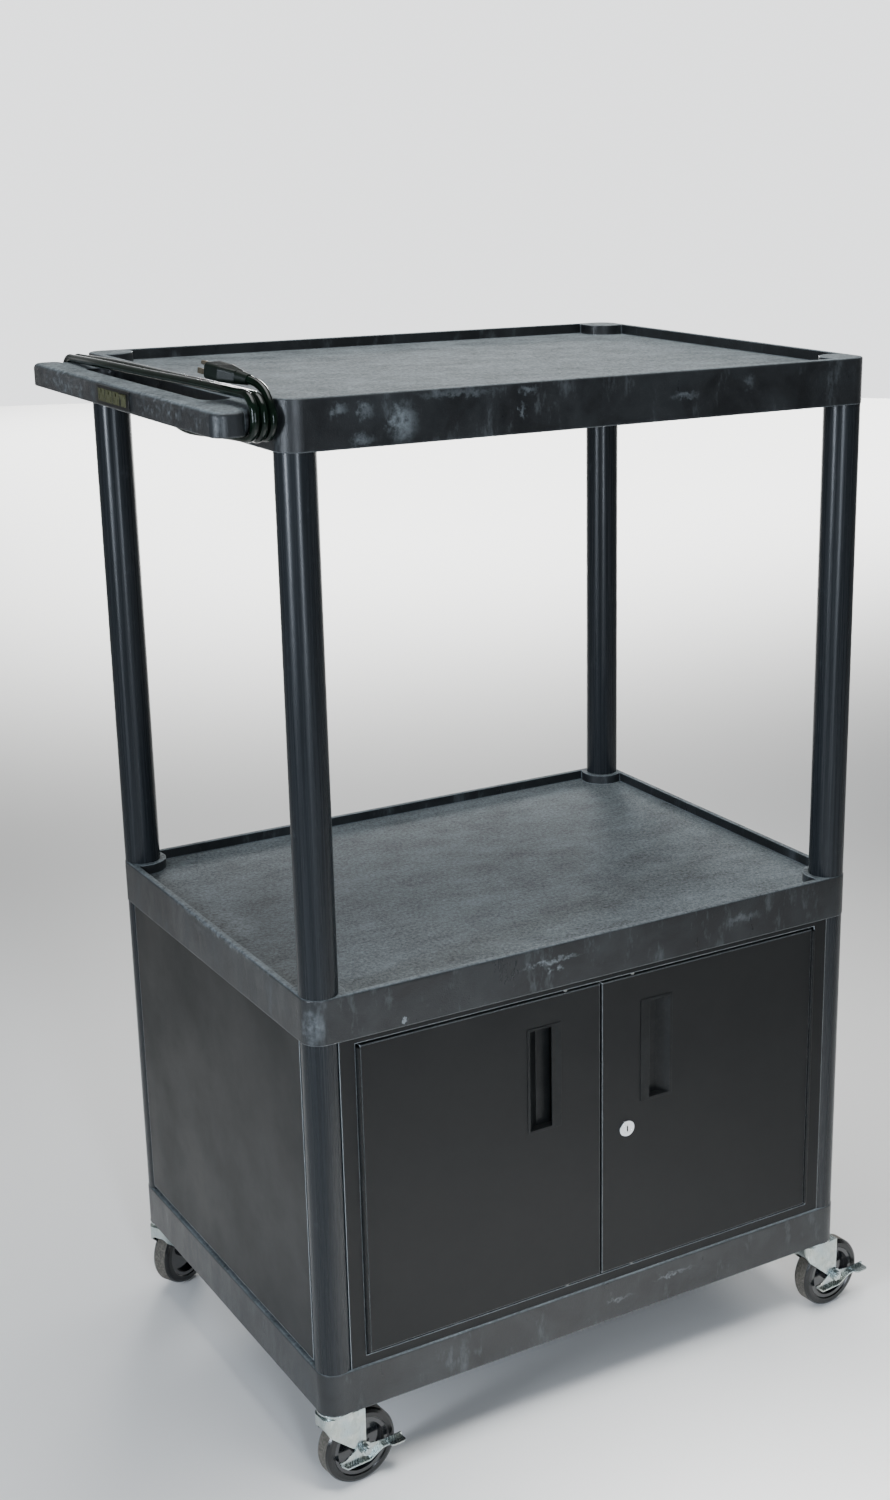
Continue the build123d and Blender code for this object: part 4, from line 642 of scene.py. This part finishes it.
@dataclass(frozen=True)
class TreadRubber(Finish):
    """Hard moulded rubber of the tyres.

    The eye sees a dark, waxy side wall, and a running face that the floor has scuffed grey-brown and
    that keeps dust. The side wall is where the surface faces along the axle, so each heading of the
    casters has its own finish.
    """

    name: str
    turn: float
    wall: str = "#0b0c0d"
    tread: str = "#3b3833"
    dust: str = "#77736a"
    wall_roughness: float = 0.22
    tread_roughness: float = 0.7
    # The share of the normal along the axle over which the surface is side wall, or under which tread.
    wall_over: float = 0.42
    tread_under: float = 0.25
    # Grit in the tread is about a millimetre across and is drawn coarser, to show.
    grit_mm: float = 3.0
    grit_depth_mm: float = 0.5

    def build(self, tree: Tree, shader: Node) -> None:
        """A waxy side and a dusty tread.

        Args:
            tree: the material's node tree.
            shader: the shader that the nodes feed.
        """
        origin = add(tree, "ShaderNodeTexCoord")
        turn = math.radians(self.turn)
        axle = (-math.sin(turn), math.cos(turn), 0.0)
        along = add(tree, "ShaderNodeVectorMath", {
            0: origin.outputs["Normal"], 1: axle}, operation="DOT_PRODUCT")
        share = add(tree, "ShaderNodeMath", {0: along.outputs["Value"]}, operation="ABSOLUTE")
        running = add(tree, "ShaderNodeMapRange", {
            "Value": share, "From Min": self.wall_over, "From Max": self.tread_under})
        grit = add(tree, "ShaderNodeTexNoise", {
            "Vector": origin.outputs["Object"], "Scale": per_metre(self.grit_mm),
            "Detail": 8.0, "Roughness": 0.8})
        dusty = add(tree, "ShaderNodeMapRange", {"Value": grit, "From Min": 0.42, "From Max": 0.7})
        tread = add(tree, "ShaderNodeMixRGB", {0: dusty, 1: linear(self.tread), 2: linear(self.dust)})
        haze = add(tree, "ShaderNodeMapRange", {
            "Value": grit, "From Min": 0.5, "From Max": 0.75, "To Max": 0.1})
        side = add(tree, "ShaderNodeMixRGB", {0: haze, 1: linear(self.wall), 2: linear(self.tread)})
        colour = add(tree, "ShaderNodeMixRGB", {0: running, 1: side, 2: tread})
        gloss = add(tree, "ShaderNodeMapRange", {
            "Value": running, "To Min": self.wall_roughness, "To Max": self.tread_roughness})
        bump = add(tree, "ShaderNodeBump", {
            "Height": grit, "Strength": 0.15, "Distance": self.grit_depth_mm * MILLIMETRE})
        feed(tree, shader, {"Base Color": colour, "Roughness": gloss, "Normal": bump})


SHELF_MOULDING = MouldedPolyethylene()
LEG_TUBE = ExtrudedTube()
POWDER_COAT = PowderCoat()
# Zinc is bright and clear chromated, so it looks pale grey-green with blue glints.
BRIGHT_ZINC = PlatedSteel("bright_zinc_plate", "#cbd0ca", "#adb4ae", 0.24, spangle_mm=7.0, cast="#b0bdc0")
# Chrome is polished, so it mirrors the studio almost cleanly.
CHROME_PLATE = PlatedSteel("chrome_plate", "#e3e5e7", "#d9dcde", 0.1, spangle_mm=12.0, cast="#d3dbe2")
# Nickel on brass has dulled with use, so the blades look brownish grey.
BLADE_METAL = PlatedSteel(
    "nickelled_brass_blade", "#8f8670", "#7d7665", 0.3, spangle_mm=5.0, cast="#857f74")
# The hinges and pulls are painted with the cabinet, in a smoother enamel.
SATIN_ENAMEL = SmallMoulding(
    "satin_black_enamel", "#101213", "#17191a", 0.36, dust_amount=0.1, gloss=0.2)
# Polyolefin wheel centres are glossy, so they pick up bluish lights.
WHEEL_CENTRE = SmallMoulding(
    "polyolefin_wheel_centre", "#0c0e12", "#13161b", 0.15, dust_amount=0.1, coat=0.8)
# The doors' buttons are pale filled rubber, so they stay matt and pick up grime.
BUTTON_RUBBER = SmallMoulding("pale_button_rubber", "#8d8d88", "#a2a29c", 0.6, dust="#6e6d68")
# The lead's jacket and its strain relief are soft glossy vinyl, black with a green cast.
LEAD_JACKET = SmallMoulding(
    "glossy_vinyl_jacket", "#030a06", "#08170e", 0.14,
    dust="#24402c", dust_amount=0.1, tooth=0.04, gloss=0.3)
# The plug is the same vinyl in a blasted mould, so its flat sides don't mirror the lights.
PLUG_MOULDING = SmallMoulding(
    "moulded_vinyl_plug", "#030705", "#07120b", 0.44, dust="#24402c", dust_amount=0.1, gloss=0.2)
# The strip's case is polycarbonate from a polished tool, so it looks smoother than the shelf round it.
STRIP_CASE = SmallMoulding(
    "black_polycarbonate_case", "#08090a", "#0e0f0f", 0.3, dust_amount=0.1, gloss=0.25)
# Receptacle faces are a duller nylon that has gone olive grey.
RECEPTACLE_NYLON = SmallMoulding("olive_grey_nylon", "#393a24", "#45462d", 0.42, dust="#616246", gloss=0.3)


class Wear(Enum):
    """Which finish each group of carried-over nodes wears."""

    SHELVES = (SHELF_MOULDING, ("top_shelf", "middle_shelf", "bottom_shelf"))
    LEGS = (LEG_TUBE, tuple(f"{level}_leg_{c}" for level in ("upper", "lower") for c in CORNERS))
    CABINET = (POWDER_COAT, (
        "cabinet_left_side", "cabinet_right_side", "cabinet_back", "cabinet_front_frame",
        "left_door", "right_door"))
    FITTINGS = (SATIN_ENAMEL, tuple(
        f"{side}_{piece}" for side in ("left", "right")
        for piece in ("hinge_frame_leaf", "hinge_door_leaf", "hinge_pin", "door_pull")))
    ZINC = (BRIGHT_ZINC, (
        "cabinet_screws", "caster_stems", "lock_nut", "lock_cam", "cam_screw",
        *(f"caster_{c}_{piece}" for c in CORNERS for piece in ("yoke", "axle")),
        *(f"caster_{c}_brake" for c in FRONT_CORNERS)))
    CHROME = (CHROME_PLATE, ("lock_barrel", "lock_plug"))
    FRONT_TYRES = (TreadRubber("front_tread_rubber", 5.0), ("caster_fl_tyre", "caster_fr_tyre"))
    BACK_LEFT_TYRE = (TreadRubber("back_left_tread_rubber", 28.0), ("caster_bl_tyre",))
    BACK_RIGHT_TYRE = (TreadRubber("back_right_tread_rubber", 20.0), ("caster_br_tyre",))
    HUBS = (WHEEL_CENTRE, tuple(f"caster_{c}_hub" for c in CORNERS))
    BUTTONS = (BUTTON_RUBBER, ("door_bumpers",))
    STRAIN_RELIEF = (LEAD_JACKET, ("cord_strain_relief",))
    PLUG = (PLUG_MOULDING, ("plug_body",))
    BLADES = (BLADE_METAL, ("plug_blades",))
    RECEPTACLES = (RECEPTACLE_NYLON, ("outlet_receptacles", "outlet_switch"))
    STRIP = (STRIP_CASE, ("outlet_box", "outlet_plate"))

    def dress(self) -> None:
        """Puts the finish on each of the group's nodes."""
        finish, nodes = self.value
        for node in nodes:
            wear(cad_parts[node], finish)


@dataclass
class MainsLead:
    """The mains lead: from its strain relief under the handle, round both necks, to its plug on top.

    Sizes are the drawing's millimetres, and angles are degrees. The route's points are the control
    points of one smooth spline.
    """

    diameter: float = 10.0
    length_mm: float = 2760.0
    # Where the lead leaves its strain relief, and its first points from there.
    mouth: Triple = (-464.0, -79.8, 1348.0)
    first_steps: tuple[Triple, ...] = (
        (0, 0, 0), (0, -28, 0), (1, -58, -11), (3, -88, -19.4), (14, -126, -19.4))
    # The turns lie a pitch apart, from the outer one inwards, and bend at wind_y from the middle.
    turns: int = 2
    pitch: float = 10.8
    first_x: float = -434.3
    wind_y: float = 274.0
    low_z: float = 1328.6
    back_radius: float = 19.4
    # The front bends are wider by half of this slack, which each turn changes by slack_step.
    front_slack: float = 9.0
    slack_step: float = -2.0
    # Each bend is drawn in corners, 0 to the back and 90 up.
    corner_step: float = 45.0
    front_corners: tuple[float, ...] = (247.5, 202.5, 157.5, 112.5)
    back_corners: tuple[float, ...] = (67.5, 22.5, -22.5, -67.5)
    # A straight run has a point this far inside each bend's middle, and the first run one further in.
    near: float = 10.0
    first_near: float = 30.0
    # Each top run: its points' place along the handle, lift and share of the turn's bow outward.
    slack_run: tuple[Triple, ...] = ((-150.0, 1.5, 0.2), (0.0, 1.5, 0.7), (140.0, 2.6, 1.0))
    bows: tuple[float, float] = (7.0, -1.0)
    # The low run crosses to the next turn's place between these shares of wind_y.
    cross_from: float = 0.6
    cross_to: float = 0.24
    # The tail leaves the last bend after this turn, climbs, and levels out towards the plug.
    last_turn: float = 130.0
    climb_run: float = 28.0
    plug_run: float = 20.0
    plug_yaw: float = 22.0
    plug_rise: float = 8.0
    route: list[Vector] = field(default_factory=list)

    def bend(self, x: float, end: int, radius: float, degrees: tuple[float, ...]) -> list[Vector]:
        """The corners that a bend round a neck is drawn in.

        Args:
            x: the strand's place across the neck.
            end: -1 at the front, 1 at the back.
            radius: the bend's own radius.
            degrees: the corners' directions from the bend's middle, 0 to the back and 90 up.

        Returns:
            The corners, a little outside the bend, in order.
        """
        reach = radius / math.cos(math.radians(self.corner_step / 2))
        centre_y, centre_z = end * self.wind_y, self.low_z + radius
        return [
            place(x, centre_y + reach * math.cos(turn), centre_z + reach * math.sin(turn))
            for turn in map(math.radians, degrees)
        ]

    def front_radius(self, k: int) -> float:
        """The radius of strand k's bend round the front neck."""
        return self.back_radius + (self.front_slack + k * self.slack_step) / 2

    def top_run(self, x: float, radius: float, outward: float) -> list[Vector]:
        """The points of a strand's slack run along the top of the handle.

        Args:
            x: the strand's place across the neck.
            radius: the radius of its bend round the front neck.
            outward: how far the run bows away from the shelf.

        Returns:
            The points, from the front.
        """
        front_z = self.low_z + 2 * radius
        back_z = self.low_z + 2 * self.back_radius
        points = []
        for y, lift, share in self.slack_run:
            level = front_z + (back_z - front_z) * (y + self.wind_y) / (2 * self.wind_y)
            points.append(place(x - share * outward, y, level + lift))
        return points

    def plan(self) -> None:
        """Works out the route's points: the lead from its boot, two whole turns, and the tail."""
        mouth_x, mouth_y, mouth_z = self.mouth
        self.route = [place(mouth_x + x, mouth_y + y, mouth_z + z) for x, y, z in self.first_steps]
        self.route.append(place(self.first_x, self.first_near - self.wind_y, self.low_z))
        neck = self.wind_y - self.near
        for k in range(self.turns):
            x, radius = self.first_x + k * self.pitch, self.front_radius(k)
            next_x = x + self.pitch
            self.route += self.bend(x, -1, radius, self.front_corners)
            self.route.append(place(x, -neck, self.low_z + 2 * radius))
            self.route += self.top_run(x, radius, self.bows[k])
            self.route.append(place(x, neck, self.low_z + 2 * self.back_radius))
            self.route += self.bend(x, 1, self.back_radius, self.back_corners)
            self.route.append(place(x, neck, self.low_z))
            self.route.append(place(x, self.cross_from * self.wind_y, self.low_z))
            self.route.append(place(next_x, self.cross_to * self.wind_y, self.low_z))
            self.route.append(place(next_x, -neck, self.low_z))
        x, radius = self.first_x + self.turns * self.pitch, self.front_radius(self.turns)
        self.route += self.bend(x, -1, radius, self.front_corners[:2])
        self.route += self.tail(x, radius)

    def tail(self, x: float, radius: float) -> list[Vector]:
        """The last points, from the top of the last bend to the plug's boot.

        Args:
            x: the last strand's place across the neck.
            radius: the radius of its bend round the front neck.

        Returns:
            The bend's last corner, the top of the climb, and the plug's boot.
        """
        half = math.radians(180 - (270 - self.last_turn)) / 2
        reach = radius / math.cos(half)
        centre_z = self.low_z + radius
        corner = place(x, -self.wind_y - reach * math.cos(half), centre_z + reach * math.sin(half))
        climb = math.radians(180 - self.last_turn)
        finish = math.radians(270 - self.last_turn)
        foot = place(x, -self.wind_y + radius * math.cos(finish), centre_z + radius * math.sin(finish))
        bend = foot + Vector((0, math.cos(climb), math.sin(climb))) * self.climb_run * MILLIMETRE
        yaw, rise = math.radians(self.plug_yaw), math.radians(self.plug_rise)
        towards = Vector((-math.sin(yaw) * math.cos(rise), math.cos(yaw) * math.cos(rise), math.sin(rise)))
        return [corner, bend, bend + towards * self.plug_run * MILLIMETRE]

    def make(self) -> bpy.types.Object:
        """Returns:
            The lead's own object.
        """
        self.plan()
        curve = bpy.data.curves.new("mains_lead", "CURVE")
        curve.dimensions = "3D"
        curve.bevel_depth = self.diameter / 2 * MILLIMETRE
        curve.bevel_resolution = 6
        curve.resolution_u = 12
        curve.use_fill_caps = True
        spline = curve.splines.new("NURBS")
        spline.points.add(len(self.route) - 1)
        for point, where in zip(spline.points, self.route):
            point.co = (*where, 1)
        spline.order_u = 3
        spline.use_endpoint_u = True
        lead = bpy.data.objects.new("mains_lead", curve)
        bpy.context.scene.collection.objects.link(lead)
        wear(lead, LEAD_JACKET)
        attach(lead, "cart")
        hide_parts("power_cord")
        LOG.info("mains lead: %d points", len(self.route))
        return lead


@dataclass(frozen=True)
class SoftLight:
    """A soft rectangular light.

    Its place, aim and size are in metres, its power in watts and its spread in degrees.
    """

    name: str
    where: Triple
    aim: Triple
    size: tuple[float, float]
    power: float
    spread: float = 180.0
    colour: str = "#ffffff"

    def make(self) -> None:
        """Hangs the light."""
        data = bpy.data.lights.new(self.name, "AREA")
        data.shape = "RECTANGLE"
        data.size, data.size_y = self.size
        data.energy = self.power
        data.spread = math.radians(self.spread)
        data.color = linear(self.colour)[:3]
        made = bpy.data.objects.new(self.name, data)
        made.location = self.where
        made.rotation_mode = "QUATERNION"
        made.rotation_quaternion = (Vector(self.aim) - made.location).to_track_quat("-Z", "Y")
        made.visible_camera = False
        bpy.context.scene.collection.objects.link(made)


@dataclass
class Studio:
    """The pale floor, the soft lights and the camera at the photograph's angle."""

    eye: Triple = (-1322.2, -2330.2, 1640.5)
    yaw: float = -32.998
    pitch: float = 17.130
    lens: float = 49.314
    sensor: float = 36.0
    shift: tuple[float, float] = (-0.1013, 0.0119)
    clip: tuple[float, float] = (0.05, 60.0)
    floor: str = "#f4f4f2"
    floor_radius: float = 11.0
    floor_roughness: float = 0.9
    # The room's strength where it is dim, and where the white backdrop would stand.
    dim: float = 0.14
    bright: float = 2.2
    room_tint: tuple[float, float, float, float] = (0.97, 0.985, 1.0, 1.0)
    # The backdrop fades in between two cosines from the view's heading, and upwards between two heights
    # it fades to what is left over.
    fade_in: tuple[float, float] = (0.6, 0.93)
    fade_up: tuple[float, float] = (0.16, 0.06)
    left_over: float = 0.12
    # Soft light from above and behind, a pool at the doors' foot, a lit floor far behind the cart, and
    # two cool strips whose mirror images are the long bands on the legs.
    lights: tuple[SoftLight, ...] = (
        SoftLight("overhead", (0.4, 0.0, 3.4), (0.4, 0.0, 0.0), (2.4, 2.4), power=33, spread=90.0),
        SoftLight("front_pool", (-0.1, -1.0, 1.7), (0.0, -0.85, 0.0), (0.5, 0.4), power=4.5, spread=50.0),
        SoftLight("far_floor", (5.0, 7.2, 4.2), (5.0, 7.2, 0.0), (9.0, 8.0), power=1000, spread=65.0),
        SoftLight("back_light", (1.7, 3.3, 1.65), (0.0, 0.0, 0.7), (1.2, 0.6), power=11, spread=65.0),
        SoftLight(
            "left_strip", (-3.1, -0.9, 1.5), (0.0, 0.0, 1.1), (0.35, 1.8),
            power=25, spread=90.0, colour="#e6f1ff"),
        SoftLight(
            "front_strip", (-1.0, -3.1, 1.4), (0.0, 0.0, 1.0), (0.3, 2.0),
            power=52, colour="#e6f1ff"),
    )

    def camera(self) -> None:
        """The camera, with its small shift for the photograph's framing."""
        data = bpy.data.cameras.new("camera")
        data.lens = self.lens
        data.sensor_width = self.sensor
        data.shift_x, data.shift_y = self.shift
        data.clip_start, data.clip_end = self.clip
        made = bpy.data.objects.new("camera", data)
        made.location = place(*self.eye)
        made.rotation_euler = (math.radians(90 - self.pitch), 0.0, math.radians(self.yaw))
        bpy.context.scene.collection.objects.link(made)
        bpy.context.scene.camera = made

    def ground(self) -> None:
        """A wide pale floor, which isn't part of the cart. The room takes over past its rim."""
        mesh = bpy.data.meshes.new("studio_floor")
        work = bmesh.new()
        bmesh.ops.create_circle(work, cap_ends=True, segments=128, radius=self.floor_radius)
        work.to_mesh(mesh)
        work.free()
        made = bpy.data.objects.new("studio_floor", mesh)
        bpy.context.scene.collection.objects.link(made)
        wear(made, SmallMoulding(
            "pale_floor", self.floor, self.floor, self.floor_roughness, dust=self.floor, tooth=0.0))

    def sky(self) -> None:
        """A dim room, brighter behind the cart, where the white backdrop would stand."""
        world = bpy.data.worlds.new("studio")
        world.use_nodes = True
        tree = world.node_tree
        heading = math.radians(-self.yaw)
        direction = add(tree, "ShaderNodeTexCoord").outputs["Generated"]
        facing = add(tree, "ShaderNodeVectorMath", {
            0: direction, 1: (math.sin(heading), math.cos(heading), 0.0)}, operation="DOT_PRODUCT")
        behind = add(tree, "ShaderNodeMapRange", {
            "Value": facing.outputs["Value"], "From Min": self.fade_in[0], "From Max": self.fade_in[1]},
            interpolation_type="SMOOTHSTEP")
        height = add(tree, "ShaderNodeSeparateXYZ", {0: direction}).outputs["Z"]
        low = add(tree, "ShaderNodeMapRange", {
            "Value": height, "From Min": self.fade_up[0], "From Max": self.fade_up[1],
            "To Min": self.left_over}, interpolation_type="SMOOTHSTEP")
        backdrop = add(tree, "ShaderNodeMath", {0: behind, 1: low}, operation="MULTIPLY")
        strength = add(tree, "ShaderNodeMapRange", {
            "Value": backdrop, "To Min": self.dim, "To Max": self.bright})
        feed(tree, tree.nodes["Background"], {0: self.room_tint, 1: strength})
        bpy.context.scene.world = world

    def make(self) -> None:
        """Sets the whole studio up."""
        self.camera()
        self.ground()
        self.sky()
        for light in self.lights:
            light.make()
        LOG.info("studio: camera, floor and %d lights", len(self.lights))


def main() -> None:
    """Builds the classes in order, and logs each step."""
    logging.basicConfig(level=logging.INFO)
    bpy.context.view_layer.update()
    Studio().make()
    for group in Wear:
        group.dress()
        LOG.info("dressed %s", group.name.lower())
    MainsLead().make()


if __name__ == "__main__":
    main()
